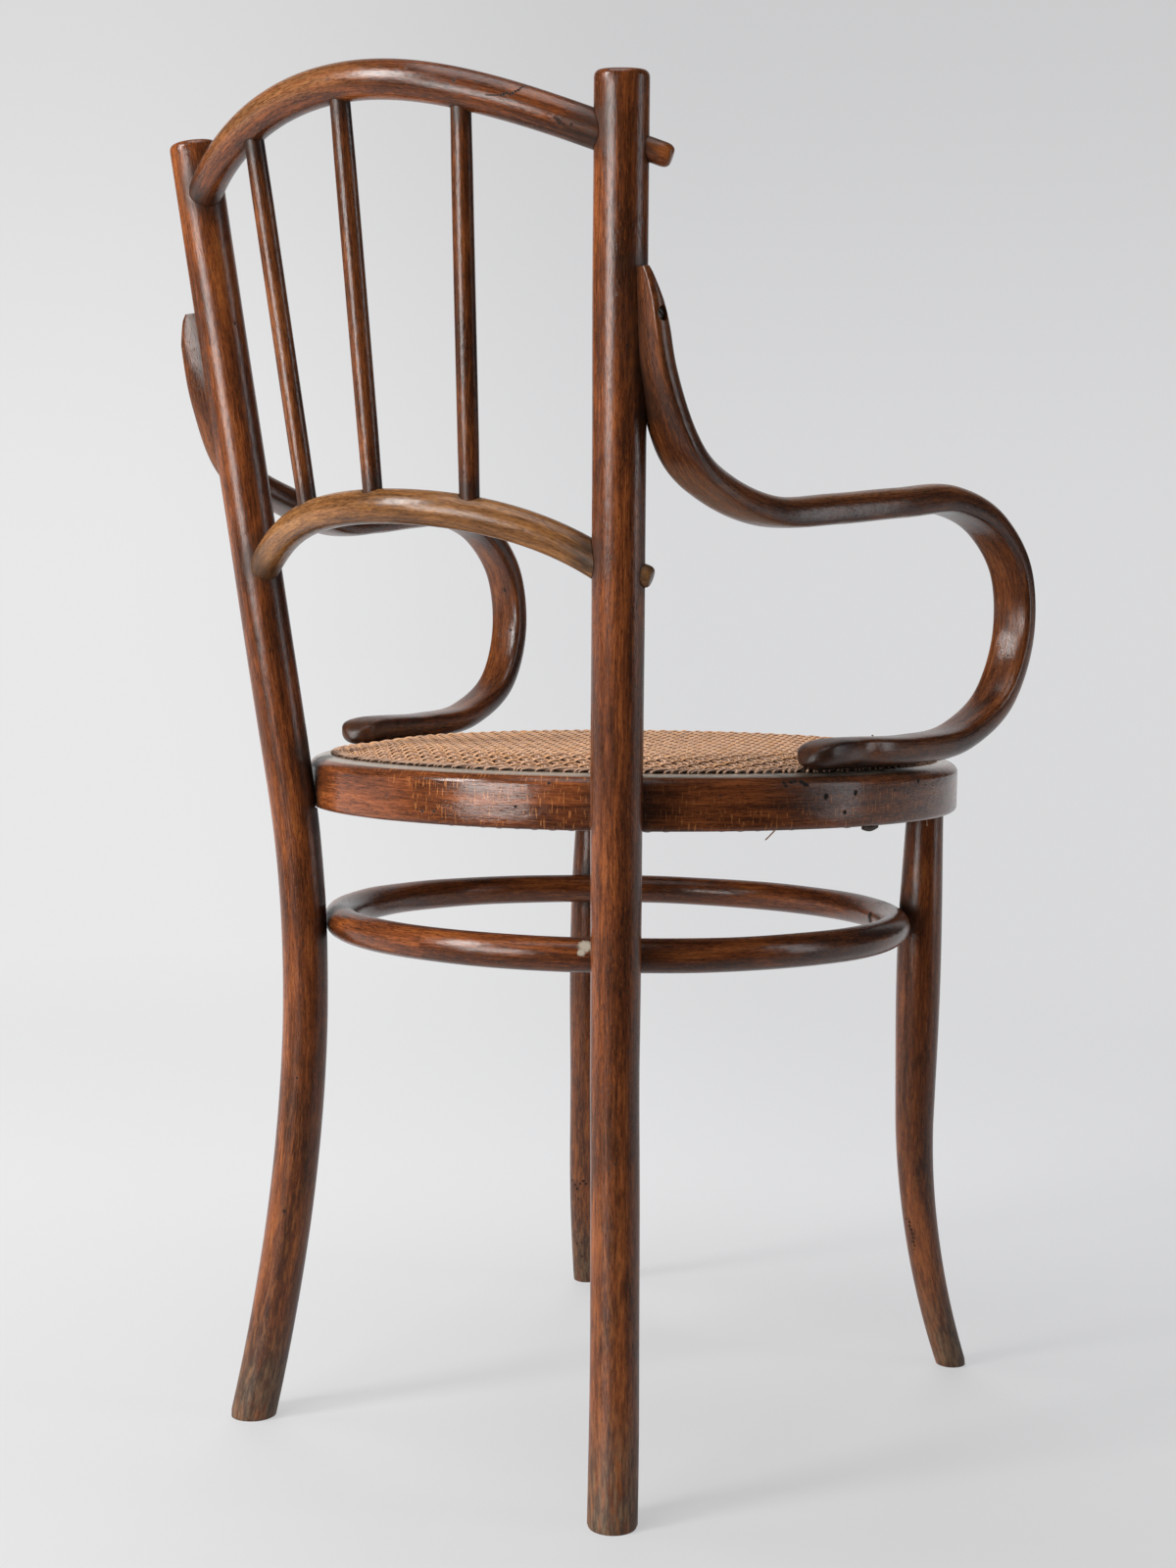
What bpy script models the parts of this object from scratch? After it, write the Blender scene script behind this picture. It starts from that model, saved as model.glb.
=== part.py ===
"""Bentwood armchair with a caned seat, modelled piece by piece.

Units are metres, +Z is up and the chair faces -Y, so the sitter's left hand is at +X.
Heights are measured from the floor. Places across the chair are measured from the
middle of the seat, and one empty then carries every piece so that the whole chair
stands with the middle of its footprint box on the world origin.
"""
import math

import bmesh
import bpy
import numpy as np
from mathutils import Matrix, Vector

# Seat: a bent band with an oval outline, caned on top
SEAT_HEIGHT = 0.467
SEAT_HALF_WIDTH = 0.2288
SEAT_HALF_DEPTH = 0.2489
RIM_HEIGHT = 0.036
RIM_WIDTH = 0.036
RIM_TOP_ROUND = 0.009
RIM_BOTTOM_ROUND = 0.004
RIM_INNER_ROUND = 0.002
CANE_BORDER = 0.016
CANE_THICKNESS = 0.0030
CANE_CROWN = 0.0050
CANE_LEVEL_EDGE = 0.016
CANE_SHOULDER = 0.024
CANE_PITCH = 0.027
CANE_HOLE = 0.016

# Rear posts: one bent rod each from floor to top
POST_HEIGHT = 0.880
POST_RADIUS = 0.0163
POST_LOWER_RADIUS = 0.0157
POST_ANGLE = math.radians(34.8)
POST_LEAN_OUT = 0.0868
POST_LEAN_BACK = 0.1344
POST_WAIST_HEIGHT = 0.287
POST_WAIST_IN = 0.0058
POST_WAIST_FORWARD = 0.0106
POST_FOOT_OUT = 0.0230
POST_FOOT_BACK = 0.0264
POST_TOP_ROUND = 0.004

# Front legs: a round tenon goes up into the rim, and the foot kicks out
LEG_ANGLE = math.radians(47.4)
LEG_TOP_RADIUS = 0.0135
LEG_RING_RADIUS = 0.0160
LEG_BEND_RADIUS = 0.0127
LEG_FOOT_RADIUS = 0.0108
LEG_BEND_HEIGHT = 0.115
LEG_KICK_HEIGHT = 0.195
LEG_KICK_OUT = 0.0206
LEG_KICK_FRONT = 0.0310
LEG_BOW = 0.0045
LEG_TENON_RADIUS = 0.0090
LEG_TENON_LENGTH = 0.022
LEG_TENON_CHAMFER = 0.002

# Stretcher ring: it touches all four legs from inside and falls a little to the front
RING_HEIGHT = 0.3475
RING_SLOPE = 0.012
RING_RADIUS = 0.0113
RING_EXTRA_DEPTH = 0.0148

# Back rails: their tenons pass through the posts
CREST_HEIGHT = 0.8417
CREST_RADIUS = 0.0123
CREST_RISE = 0.0445
CREST_BOW = 0.0529
CREST_FLATNESS = 0.157
CREST_BOW_FLATNESS = -0.060
CREST_STICK_OUT = 0.0135
LOWER_HEIGHT = 0.5904
LOWER_RADIUS = 0.0115
LOWER_RISE = 0.0424
LOWER_BOW = 0.0514
LOWER_FLATNESS = -0.413
LOWER_BOW_FLATNESS = 0.3035
LOWER_STICK_OUT = 0.0045
CREST_TENON_FALL = 0.355
LOWER_TENON_FALL = 0.35
RAIL_TENON_RADIUS = 0.0070
RAIL_TENON_ROOT = 0.012

# Spindles between the rails
SPINDLE_RADIUS = 0.0066
SPINDLE_TOP_SPREAD = 0.0864
SPINDLE_BOTTOM_SPREAD = 0.0678
SPINDLE_SHORT = 0.0020

# Arms: flat on the inside of the bend, rounded outside
ARM_WIDTH = 0.0302
ARM_FLAT = 0.0082
ARM_CROWN = 0.0122
ARM_TIP_CROWN = 0.0014
ARM_TOP_WIDTH = 0.0240
ARM_TOP_LENGTH = 0.110
ARM_TOP_FLAT_SHARE = 0.50
ARM_TOP_FLAT_LENGTH = 0.280
ARM_TOP_HEIGHT = 0.769
ARM_LEAVE_HEIGHT = 0.709
ARM_TOP_OUT = 0.0038
ARM_TOP_BACK = 0.0038
ARM_REST_HEIGHT = 0.183
ARM_SINK = 0.0010
ARM_FEATHER = 0.045
ARM_END = 0.034
ARM_END_SLOPE = 1.45
ARM_TWIST = math.radians(30.0)
ARM_TWIST_LENGTH = 0.110
ARM_COUNT = 46
# Steps of the axis away from the post: out, back and up from where it leaves the post,
# with the height taken from the arm rest
ARM_LEAVE_STEPS = [(0.0250, -0.0302, 0.0130), (0.0210, -0.0770, -0.0070)]
# The rest of the axis: out from the middle of the rim, back from the middle of the seat,
# and the height as a share, from 0 on the seat to 1 at the arm rest
ARM_BENDS = [(-0.0210, 0.1250, 0.893), (-0.0080, 0.0680, 0.920), (0.0060, 0.0090, 0.961),
             (0.0145, -0.0500, 0.988), (0.0195, -0.0985, 0.905), (0.0225, -0.1300, 0.730),
             (0.0220, -0.1380, 0.460), (0.0185, -0.1190, 0.200), (0.0140, -0.0735, 0.045),
             (0.0085, -0.0130, 0.000), (-0.0010, 0.0430, -0.003), (-0.0110, 0.0895, -0.006)]

# Screws and pins
SCREW_RADIUS = 0.0020
SCREW_HEAD_RADIUS = 0.0042
SCREW_HEAD_HEIGHT = 0.0018
PIN_RADIUS = 0.0016
SCREW_BITE = 0.012
ARM_SCREW_SINK = 0.0040
ARM_SCREW_BACK = 0.055

# Clearance that touching pieces keep, and the fineness of the surfaces
GAP = 0.0003
ROD_FINENESS = 4
THIN_FINENESS = 3
OPEN_ENDS = 0.010

RIM_MIDDLE = SEAT_HEIGHT - RIM_HEIGHT / 2
SIDES = {"left": 1, "right": -1}

WOOD = (0.115, 0.040, 0.017)
WOOD_GOLD = (0.210, 0.090, 0.030)
CANE = (0.560, 0.330, 0.160)
STEEL = (0.060, 0.050, 0.045)


def start_scene():
    """Empty the scene, and make the two collections and the empty that carries all."""
    for old in list(bpy.data.objects):
        bpy.data.objects.remove(old, do_unlink=True)
    collections = []
    for name in ("bentwood_armchair", "cutters"):
        collection = bpy.data.collections.new(name)
        bpy.context.scene.collection.children.link(collection)
        collections.append(collection)
    carrier = bpy.data.objects.new("chair_origin", None)
    collections[0].objects.link(carrier)
    return collections[0], collections[1], carrier


PARTS, CUTTERS, CARRIER = start_scene()


def make_material(name, colour, roughness, metallic=0.0):
    """A Principled material with one colour."""
    material = bpy.data.materials.new(name)
    material.use_nodes = True
    shader = material.node_tree.nodes["Principled BSDF"]
    shader.inputs["Base Color"].default_value = (*colour, 1.0)
    shader.inputs["Roughness"].default_value = roughness
    shader.inputs["Metallic"].default_value = metallic
    material.diffuse_color = (*colour, 1.0)
    return material


def register(piece, collection, material=None):
    """Put an object in its collection, on the carrier, with its own material."""
    for other in list(piece.users_collection):
        other.objects.unlink(piece)
    collection.objects.link(piece)
    piece.parent = CARRIER
    if material:
        colour, roughness, metallic = material
        piece.data.materials.clear()
        piece.data.materials.append(
            make_material(piece.name + "_finish", colour, roughness, metallic))
        piece.data.shade_smooth()
        piece.data.set_sharp_from_angle(angle=math.radians(40))
    else:
        piece.hide_render = True
        piece.display_type = "WIRE"
    return piece


def wood():
    return WOOD, 0.35, 0.0


def rod(name, points, radii, fineness=ROD_FINENESS, closed=False, material=None):
    """A round rod along the points, made as a curve and then turned into a mesh."""
    curve = bpy.data.curves.new(name, "CURVE")
    curve.dimensions = "3D"
    curve.bevel_depth = 1.0
    curve.bevel_resolution = fineness
    curve.use_fill_caps = not closed
    curve.twist_mode = "Z_UP" if closed else "MINIMUM"
    spline = curve.splines.new("POLY")
    spline.points.add(len(points) - 1)
    for point, place, radius in zip(spline.points, points, radii):
        point.co = (*place, 1.0)
        point.radius = radius
    spline.use_cyclic_u = closed
    drawn = bpy.data.objects.new(name + "_curve", curve)
    bpy.context.scene.collection.objects.link(drawn)
    return curve_to_piece(name, drawn, material)


def curve_to_piece(name, drawn, material):
    """Replace a curve object by a mesh object with welded caps."""
    bpy.context.view_layer.update()
    evaluated = drawn.evaluated_get(bpy.context.evaluated_depsgraph_get())
    mesh = bpy.data.meshes.new_from_object(evaluated)
    mesh.name = name
    shell = bmesh.new()
    shell.from_mesh(mesh)
    bmesh.ops.remove_doubles(shell, verts=shell.verts, dist=0.00001)
    bmesh.ops.recalc_face_normals(shell, faces=shell.faces)
    shell.to_mesh(mesh)
    shell.free()
    piece = bpy.data.objects.new(name, mesh)
    piece.matrix_world = drawn.matrix_world
    bpy.data.objects.remove(drawn, do_unlink=True)
    return register(piece, PARTS if material else CUTTERS, material)


def turned(name, profile, base, direction, material=None, steps=12):
    """A turned piece: a profile of (radius, height) spun about an axis from its base."""
    mesh = bpy.data.meshes.new(name)
    outline = [Vector((radius, 0.0, height)) for radius, height in profile]
    mesh.from_pydata(outline, [(i, i + 1) for i in range(len(outline) - 1)], [])
    piece = bpy.data.objects.new(name, mesh)
    screw = piece.modifiers.new("turn", "SCREW")
    screw.steps = steps
    screw.render_steps = steps
    screw.use_merge_vertices = True
    screw.merge_threshold = 0.00001
    turn = Vector((0, 0, 1)).rotation_difference(Vector(direction))
    piece.rotation_mode = "QUATERNION"
    piece.rotation_quaternion = turn
    piece.location = base
    return register(piece, PARTS if material else CUTTERS, material)


def loft(name, rings, material=None, hoop=False):
    """A closed skin over rings of equal count, capped at both ends or closed as a hoop."""
    shell = bmesh.new()
    rows = [[shell.verts.new(place) for place in ring] for ring in rings]
    count = len(rows[0])
    followers = rows[1:] + rows[:1] if hoop else rows[1:]
    for row, following in zip(rows, followers):
        for i in range(count):
            j = (i + 1) % count
            shell.faces.new((row[i], row[j], following[j], following[i]))
    if not hoop:
        shell.faces.new(reversed(rows[0]))
        shell.faces.new(rows[-1])
    bmesh.ops.recalc_face_normals(shell, faces=shell.faces)
    mesh = bpy.data.meshes.new(name)
    shell.to_mesh(mesh)
    shell.free()
    collection = PARTS if material else CUTTERS
    return register(bpy.data.objects.new(name, mesh), collection, material)


def block(name, low, high):
    """A box cutter between two corners."""
    shell = bmesh.new()
    bmesh.ops.create_cube(shell, size=1.0)
    low, high = Vector(low), Vector(high)
    for vertex in shell.verts:
        vertex.co = Vector(((low[i] + high[i]) / 2 + vertex.co[i] * (high[i] - low[i])
                            for i in range(3)))
    mesh = bpy.data.meshes.new(name)
    shell.to_mesh(mesh)
    shell.free()
    return register(bpy.data.objects.new(name, mesh), CUTTERS)


def combine(piece, other, operation="DIFFERENCE"):
    """Cut one piece with another, or join them."""
    boolean = piece.modifiers.new(operation.lower(), "BOOLEAN")
    boolean.operation = operation
    boolean.solver = "EXACT"
    boolean.object = other


def smooth_value(stations, at):
    """A smooth value between stations of (place, value), flat beyond both ends."""
    places = [place for place, value in stations]
    values = np.array([value for place, value in stations], dtype=float)
    if at <= places[0]:
        return values[0]
    if at >= places[-1]:
        return values[-1]
    slopes = np.gradient(values, places, axis=0)
    i = max(k for k in range(len(places) - 1) if places[k] <= at)
    span = places[i + 1] - places[i]
    t = (at - places[i]) / span
    rise = 3 * t ** 2 - 2 * t ** 3
    return (values[i] * (1 - rise) + values[i + 1] * rise
            + slopes[i] * span * (t ** 3 - 2 * t ** 2 + t)
            + slopes[i + 1] * span * (t ** 3 - t ** 2))


def oval_point(half_width, half_depth, angle, out=0.0):
    """A point on an oval, its angle taken from +Y towards +X, moved out square to it."""
    point = Vector((half_width * math.sin(angle), half_depth * math.cos(angle)))
    normal = Vector((math.sin(angle) / half_width, math.cos(angle) / half_depth))
    return point + normal.normalized() * out


def post_radius(height):
    return smooth_value([(0.0, POST_LOWER_RADIUS), (POST_WAIST_HEIGHT, POST_LOWER_RADIUS),
                         (RIM_MIDDLE + RIM_HEIGHT, POST_RADIUS)], height)


def post_centre(height, side=1):
    """The axis of a rear post: straight above the seat, waisted and flared below it."""
    seat = oval_point(SEAT_HALF_WIDTH, SEAT_HALF_DEPTH, POST_ANGLE,
                      post_radius(RIM_MIDDLE) + GAP)
    rise = height - RIM_MIDDLE
    if rise >= 0:
        out, back = POST_LEAN_OUT * rise, POST_LEAN_BACK * rise
    else:
        span = RIM_MIDDLE - POST_WAIST_HEIGHT
        up = max(0.0, (height - POST_WAIST_HEIGHT) / span)
        down = max(0.0, 1 - height / POST_WAIST_HEIGHT)
        out = (POST_FOOT_OUT * down ** 1.6
               - POST_WAIST_IN * (1 - up ** (POST_LEAN_OUT * span / POST_WAIST_IN)))
        back = (POST_FOOT_BACK * down ** 2
                - POST_WAIST_FORWARD * (1 - up ** (POST_LEAN_BACK * span / POST_WAIST_FORWARD)))
    return Vector((side * (seat.x + out), seat.y + back, height))


def leg_radius(height):
    return smooth_value([(0.0, LEG_FOOT_RADIUS), (LEG_BEND_HEIGHT, LEG_BEND_RADIUS),
                         (RING_HEIGHT, LEG_RING_RADIUS),
                         (SEAT_HEIGHT - RIM_HEIGHT, LEG_TOP_RADIUS)], height)


def leg_centre(height, side=1):
    """The axis of a front leg, which stands under the middle of the rim."""
    top_height = SEAT_HEIGHT - RIM_HEIGHT
    top = oval_point(SEAT_HALF_WIDTH, SEAT_HALF_DEPTH, math.pi - LEG_ANGLE, -RIM_WIDTH / 2)
    down = max(0.0, 1 - height / LEG_KICK_HEIGHT)
    bow = LEG_BOW * (1 - (max(height, 0.0) / top_height) ** 5) if height < top_height else 0.0
    return Vector((side * (top.x + LEG_KICK_OUT * down ** 1.75),
                   top.y + bow - LEG_KICK_FRONT * down ** 2.1, height))


def heights(bottom, top, count):
    return [bottom + (top - bottom) * i / (count - 1) for i in range(count)]


def make_rear_posts(floor):
    """Both rear posts, cut level at the floor, rounded on top and notched for the rim."""
    notch = loft("post_notch", [oval_ring(GAP, SEAT_HEIGHT - RIM_HEIGHT - GAP),
                                oval_ring(GAP, SEAT_HEIGHT + GAP)])
    posts = {}
    top = POST_HEIGHT - POST_TOP_ROUND
    for side_name, side in SIDES.items():
        levels = heights(-OPEN_ENDS, RIM_MIDDLE, 15) + [top]
        radii = [post_radius(level) for level in levels]
        levels += [POST_HEIGHT - POST_TOP_ROUND * 0.3, POST_HEIGHT]
        radii += [POST_RADIUS * 0.93, POST_RADIUS * 0.78]
        piece = rod("rear_post_" + side_name,
                    [post_centre(level, side) for level in levels], radii, material=wood())
        combine(piece, floor)
        combine(piece, notch)
        posts[side_name] = piece
    return posts


def make_front_legs(floor):
    """Both front legs with the round tenons that go up into the rim."""
    legs = {}
    shoulder = SEAT_HEIGHT - RIM_HEIGHT - GAP
    for side_name, side in SIDES.items():
        levels = heights(-OPEN_ENDS, shoulder, 15)
        points = [leg_centre(level, side) for level in levels]
        radii = [leg_radius(level) for level in levels]
        top = points[-1]
        for rise in (0.0001, LEG_TENON_LENGTH - LEG_TENON_CHAMFER, LEG_TENON_LENGTH):
            points.append(top + Vector((0, 0, rise)))
            radii.append(LEG_TENON_RADIUS)
        radii[-1] -= LEG_TENON_CHAMFER
        piece = rod("front_leg_" + side_name, points, radii, material=wood())
        combine(piece, floor)
        legs[side_name] = piece
    return legs


def leg_sockets():
    """Cutters for the tenon holes in the underside of the rim."""
    cutters = []
    for side_name, side in SIDES.items():
        base = leg_centre(SEAT_HEIGHT - RIM_HEIGHT, side) - Vector((0, 0, OPEN_ENDS))
        depth = OPEN_ENDS + LEG_TENON_LENGTH + GAP
        cutters.append(turned("leg_socket_" + side_name,
                              [(0.0, depth), (LEG_TENON_RADIUS + GAP, depth),
                               (LEG_TENON_RADIUS + GAP, 0.0), (0.0, 0.0)],
                              base, (0, 0, 1), steps=16))
    return cutters


def make_seat_rim():
    """The bent seat band: a rounded section carried round the oval."""
    height, width = RIM_HEIGHT, RIM_WIDTH
    section = []
    corners = [(0.0, 0.0, RIM_BOTTOM_ROUND, 180), (width, 0.0, RIM_BOTTOM_ROUND, 270),
               (width, height, RIM_TOP_ROUND, 0), (0.0, height, RIM_INNER_ROUND, 90)]
    for across, up, radius, start in corners:
        for step in range(3):
            turn = math.radians(start + 45 * step)
            centre_across = across + (radius if across == 0.0 else -radius)
            centre_up = up + (radius if up == 0.0 else -radius)
            section.append((centre_across + radius * math.cos(turn),
                            centre_up + radius * math.sin(turn)))
    count = 72
    rows = []
    for i in range(count):
        angle = 2 * math.pi * i / count
        row = []
        for across, up in section:
            place = oval_point(SEAT_HALF_WIDTH, SEAT_HALF_DEPTH, angle, across - width)
            row.append((place.x, place.y, SEAT_HEIGHT - height + up))
        rows.append(row)
    return loft("seat_rim", rows, wood(), hoop=True)


def oval_ring(out, level, count=72):
    """Points round the seat's outline at a distance and a height."""
    places = [oval_point(SEAT_HALF_WIDTH, SEAT_HALF_DEPTH, 2 * math.pi * i / count, out)
              for i in range(count)]
    return [(place.x, place.y, level) for place in places]


def make_cane_panel():
    """The caned panel: it lies on the rim, stands a little proud and has open meshes."""
    bottom = SEAT_HEIGHT + GAP
    edge = -CANE_BORDER
    level = edge - CANE_LEVEL_EDGE
    shoulder = level - CANE_SHOULDER
    rings = [oval_ring(shoulder, bottom + CANE_CROWN),
             oval_ring(-RIM_WIDTH, bottom),
             oval_ring(edge, bottom),
             oval_ring(edge, bottom + CANE_THICKNESS),
             oval_ring(level, bottom + CANE_THICKNESS),
             oval_ring(shoulder, bottom + CANE_THICKNESS + CANE_CROWN)]
    panel = loft("cane_panel", rings, (CANE, 0.6, 0.0))
    combine(panel, cane_holes(bottom + CANE_CROWN))
    return panel


def cane_holes(bottom):
    """One cutter of square pegs, set corner to corner over the open part of the seat."""
    solid_edge = max(RIM_WIDTH, CANE_BORDER + CANE_LEVEL_EDGE + CANE_SHOULDER) + CANE_HOLE * 0.2
    reach_x = SEAT_HALF_WIDTH - solid_edge
    reach_y = SEAT_HALF_DEPTH - solid_edge
    pegs = bmesh.new()
    rows = int(reach_y / CANE_PITCH) + 1
    columns = int(reach_x / CANE_PITCH) + 1
    for row in range(-rows, rows + 1):
        for column in range(-columns, columns + 1):
            x = column * CANE_PITCH
            y = row * CANE_PITCH
            if (x / reach_x) ** 2 + (y / reach_y) ** 2 > 1:
                continue
            place = (Matrix.Translation((x, y, bottom + CANE_THICKNESS / 2))
                     @ Matrix.Rotation(math.radians(45), 4, "Z")
                     @ Matrix.Diagonal((CANE_HOLE, CANE_HOLE, CANE_THICKNESS * 4, 1)))
            bmesh.ops.create_cube(pegs, size=1.0, matrix=place)
    mesh = bpy.data.meshes.new("cane_holes")
    pegs.to_mesh(mesh)
    pegs.free()
    return register(bpy.data.objects.new("cane_holes", mesh), CUTTERS)


def nearest_distance(half_width, half_depth, middle, place):
    """How far a point lies from an oval about (0, middle)."""
    angles = np.linspace(0, 2 * np.pi, 1441)
    return float(np.hypot(half_width * np.sin(angles) - place.x,
                          middle + half_depth * np.cos(angles) - place.y).min())


def slant(centre_at, height):
    """How much wider a leaning rod measures level than square to its axis."""
    step = 0.001
    along = centre_at(height + step) - centre_at(height - step)
    return along.length / along.z


def ring_level(back):
    """The height of the ring's axis at a distance behind the middle of the seat."""
    return RING_HEIGHT + RING_SLOPE * back


def touched_centre(centre_at, side=1):
    """The axis of a post or leg at the height where the ring touches it."""
    return centre_at(ring_level(centre_at(RING_HEIGHT).y), side)


def fit_ring():
    """Find the ring that touches both rear posts and both front legs from inside."""
    post = touched_centre(post_centre)
    leg = touched_centre(leg_centre)
    to_post = (RING_RADIUS + post_radius(post.z)) * slant(post_centre, post.z) + GAP
    to_leg = (RING_RADIUS + leg_radius(leg.z)) * slant(leg_centre, leg.z) + GAP
    half_width = post.y
    middle = 0.0
    for step in range(60):
        half_depth = half_width + RING_EXTRA_DEPTH
        rear = nearest_distance(half_width, half_depth, middle, post) - to_post
        front = nearest_distance(half_width, half_depth, middle, leg) - to_leg
        half_width += (rear + front) / 2
        middle += (rear - front) / 2
    return half_width, half_width + RING_EXTRA_DEPTH, middle


RING_HALF_WIDTH, RING_HALF_DEPTH, RING_MIDDLE = fit_ring()


def ring_point(angle, out=0.0):
    place = oval_point(RING_HALF_WIDTH, RING_HALF_DEPTH, angle, out)
    back = place.y + RING_MIDDLE
    return Vector((place.x, back, ring_level(back)))


def make_stretcher_ring():
    """The stretcher ring, a round rod bent into a hoop."""
    count = 64
    points = [ring_point(2 * math.pi * i / count) for i in range(count)]
    return rod("stretcher_ring", points, [RING_RADIUS] * count, THIN_FINENESS,
               closed=True, material=wood())


def rail_point(rail, share, side=1):
    """A point on a rail's axis, where share runs from 0 at the middle to 1 at the post."""
    end = post_centre(rail["height"])
    up = 1 - (1 + rail["rise_flatness"]) * share ** 2 + rail["rise_flatness"] * share ** 4
    back = 1 - (1 + rail["bow_flatness"]) * share ** 2 + rail["bow_flatness"] * share ** 4
    return Vector((side * end.x * share, end.y + rail["bow"] * back,
                   rail["height"] + rail["rise"] * up))


def tenon_line(rail, side):
    """A tenon starts on the rail's axis where the rail meets the post, and has its own fall.

    Both values are taken per metre of level distance.
    """
    along = rail_point(rail, 1.0, side) - rail_point(rail, 0.995, side)
    along /= math.hypot(along.x, along.y)
    shoulder = rail_point(rail, 1.0, side) - along * post_radius(rail["height"])
    return shoulder, Vector((along.x, along.y, -rail["tenon_fall"]))


CREST = {"name": "crest_rail", "height": CREST_HEIGHT, "radius": CREST_RADIUS,
         "rise": CREST_RISE, "bow": CREST_BOW, "rise_flatness": CREST_FLATNESS,
         "bow_flatness": CREST_BOW_FLATNESS, "stick_out": CREST_STICK_OUT,
         "tenon_fall": CREST_TENON_FALL}
LOWER = {"name": "lower_back_rail", "height": LOWER_HEIGHT, "radius": LOWER_RADIUS,
         "rise": LOWER_RISE, "bow": LOWER_BOW, "rise_flatness": LOWER_FLATNESS,
         "bow_flatness": LOWER_BOW_FLATNESS, "stick_out": LOWER_STICK_OUT,
         "tenon_fall": LOWER_TENON_FALL}


def tenon_span(rail, side):
    """Where a rail's tenon starts inside the rail, and where it ends past the post."""
    shoulder, run = tenon_line(rail, side)
    out = 2 * post_radius(rail["height"]) + rail["stick_out"]
    return shoulder - run * RAIL_TENON_ROOT, shoulder + run * out, run.normalized()


def make_rail(rail, posts, spindle_cutters):
    """A back rail, scribed to both posts, with a round tenon through each of them."""
    count = 33
    shares = [-1 + 2 * i / (count - 1) for i in range(count)]
    points = [rail_point(rail, abs(share), 1 if share > 0 else -1) for share in shares]
    piece = rod(rail["name"], points, [rail["radius"]] * count,
                material=(WOOD if rail is CREST else WOOD_GOLD, 0.35, 0.0))
    for side_name, side in SIDES.items():
        near = [rail["height"] - 0.06, rail["height"] + 0.06]
        scribe = rod(rail["name"] + "_scribe_" + side_name,
                     [post_centre(level, side) for level in near],
                     [post_radius(level) + GAP for level in near])
        combine(piece, scribe)
        start, end, direction = tenon_span(rail, side)
        dome = min(RAIL_TENON_RADIUS * 0.5, rail["stick_out"] * 0.8)
        tenon = rod(rail["name"] + "_tenon_" + side_name,
                    [start, end - direction * dome, end - direction * dome * 0.35, end],
                    [RAIL_TENON_RADIUS, RAIL_TENON_RADIUS, RAIL_TENON_RADIUS * 0.85,
                     RAIL_TENON_RADIUS * 0.5], THIN_FINENESS)
        combine(piece, tenon, "UNION")
        hole = rod(rail["name"] + "_mortise_" + side_name,
                   [start, end + direction * OPEN_ENDS],
                   [RAIL_TENON_RADIUS + GAP] * 2, THIN_FINENESS)
        combine(posts[side_name], hole)
    for cutter in spindle_cutters:
        combine(piece, cutter)
    return piece


def rail_share(rail, out):
    return out / post_centre(rail["height"]).x


def spindle_ends(spread):
    """The two ends of a spindle, let into the crest and the lower rail."""
    side = 1 if spread >= 0 else -1
    top = rail_point(CREST, rail_share(CREST, abs(spread) * SPINDLE_TOP_SPREAD), side)
    bottom = rail_point(LOWER, rail_share(LOWER, abs(spread) * SPINDLE_BOTTOM_SPREAD), side)
    along = (top - bottom).normalized()
    return bottom + along * SPINDLE_SHORT, top - along * SPINDLE_SHORT, along


def make_spindles():
    """Three spindles, and the cutters of their holes in the rails."""
    cutters = []
    for name, spread in (("left", 1), ("centre", 0), ("right", -1)):
        bottom, top, along = spindle_ends(spread)
        rod("back_spindle_" + name, [bottom, top], [SPINDLE_RADIUS] * 2, THIN_FINENESS,
            material=wood())
        cutters.append(rod("spindle_hole_" + name, [bottom - along * GAP, top + along * GAP],
                           [SPINDLE_RADIUS + GAP] * 2, THIN_FINENESS))
    return cutters


def arm_stations():
    """The arm's axis for the +X side, from the tip on the post to the end on the rim."""
    top = post_centre(ARM_TOP_HEIGHT)
    leave = post_centre(ARM_LEAVE_HEIGHT)
    out = Vector((POST_RADIUS + ARM_TOP_OUT, ARM_TOP_BACK, 0))
    rest = SEAT_HEIGHT + ARM_REST_HEIGHT
    on_rim = arm_underside() + ARM_CROWN - ARM_SINK
    rim = SEAT_HALF_WIDTH - RIM_WIDTH / 2
    stations = [top + out, leave + out + Vector((0.0040, -0.0062, 0))]
    for across, back, up in ARM_LEAVE_STEPS:
        stations.append(Vector((leave.x + across, leave.y + back, rest + up)))
    for across, back, share in ARM_BENDS:
        stations.append(Vector((rim + across, back, on_rim + (rest - on_rim) * share)))
    return stations


def arm_underside():
    """The level on which an arm's end rests: the edge of the cane, which it presses on."""
    return SEAT_HEIGHT + CANE_THICKNESS + 2 * GAP


def arm_axis():
    """Even points along the smooth curve through the arm's stations."""
    stations = arm_stations()
    places = [0.0]
    for before, after in zip(stations, stations[1:]):
        places.append(places[-1] + (after - before).length)
    table = [(place, tuple(station)) for place, station in zip(places, stations)]
    spots = heights(0.0, places[-1], ARM_COUNT)
    return spots, [Vector(smooth_value(table, spot)) for spot in spots]


def arm_section(width, flat, crown):
    """Points round the arm's section: across it, and towards the flat side."""
    points = []
    for step in range(14):
        turn = 2 * math.pi * step / 14
        across = math.copysign(abs(math.cos(turn)) ** 0.8, math.cos(turn)) * width / 2
        depth = math.sin(turn)
        if depth < 0:
            points.append((across, depth * crown))
        else:
            points.append((across, flat * depth ** 0.45))
    return points


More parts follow.
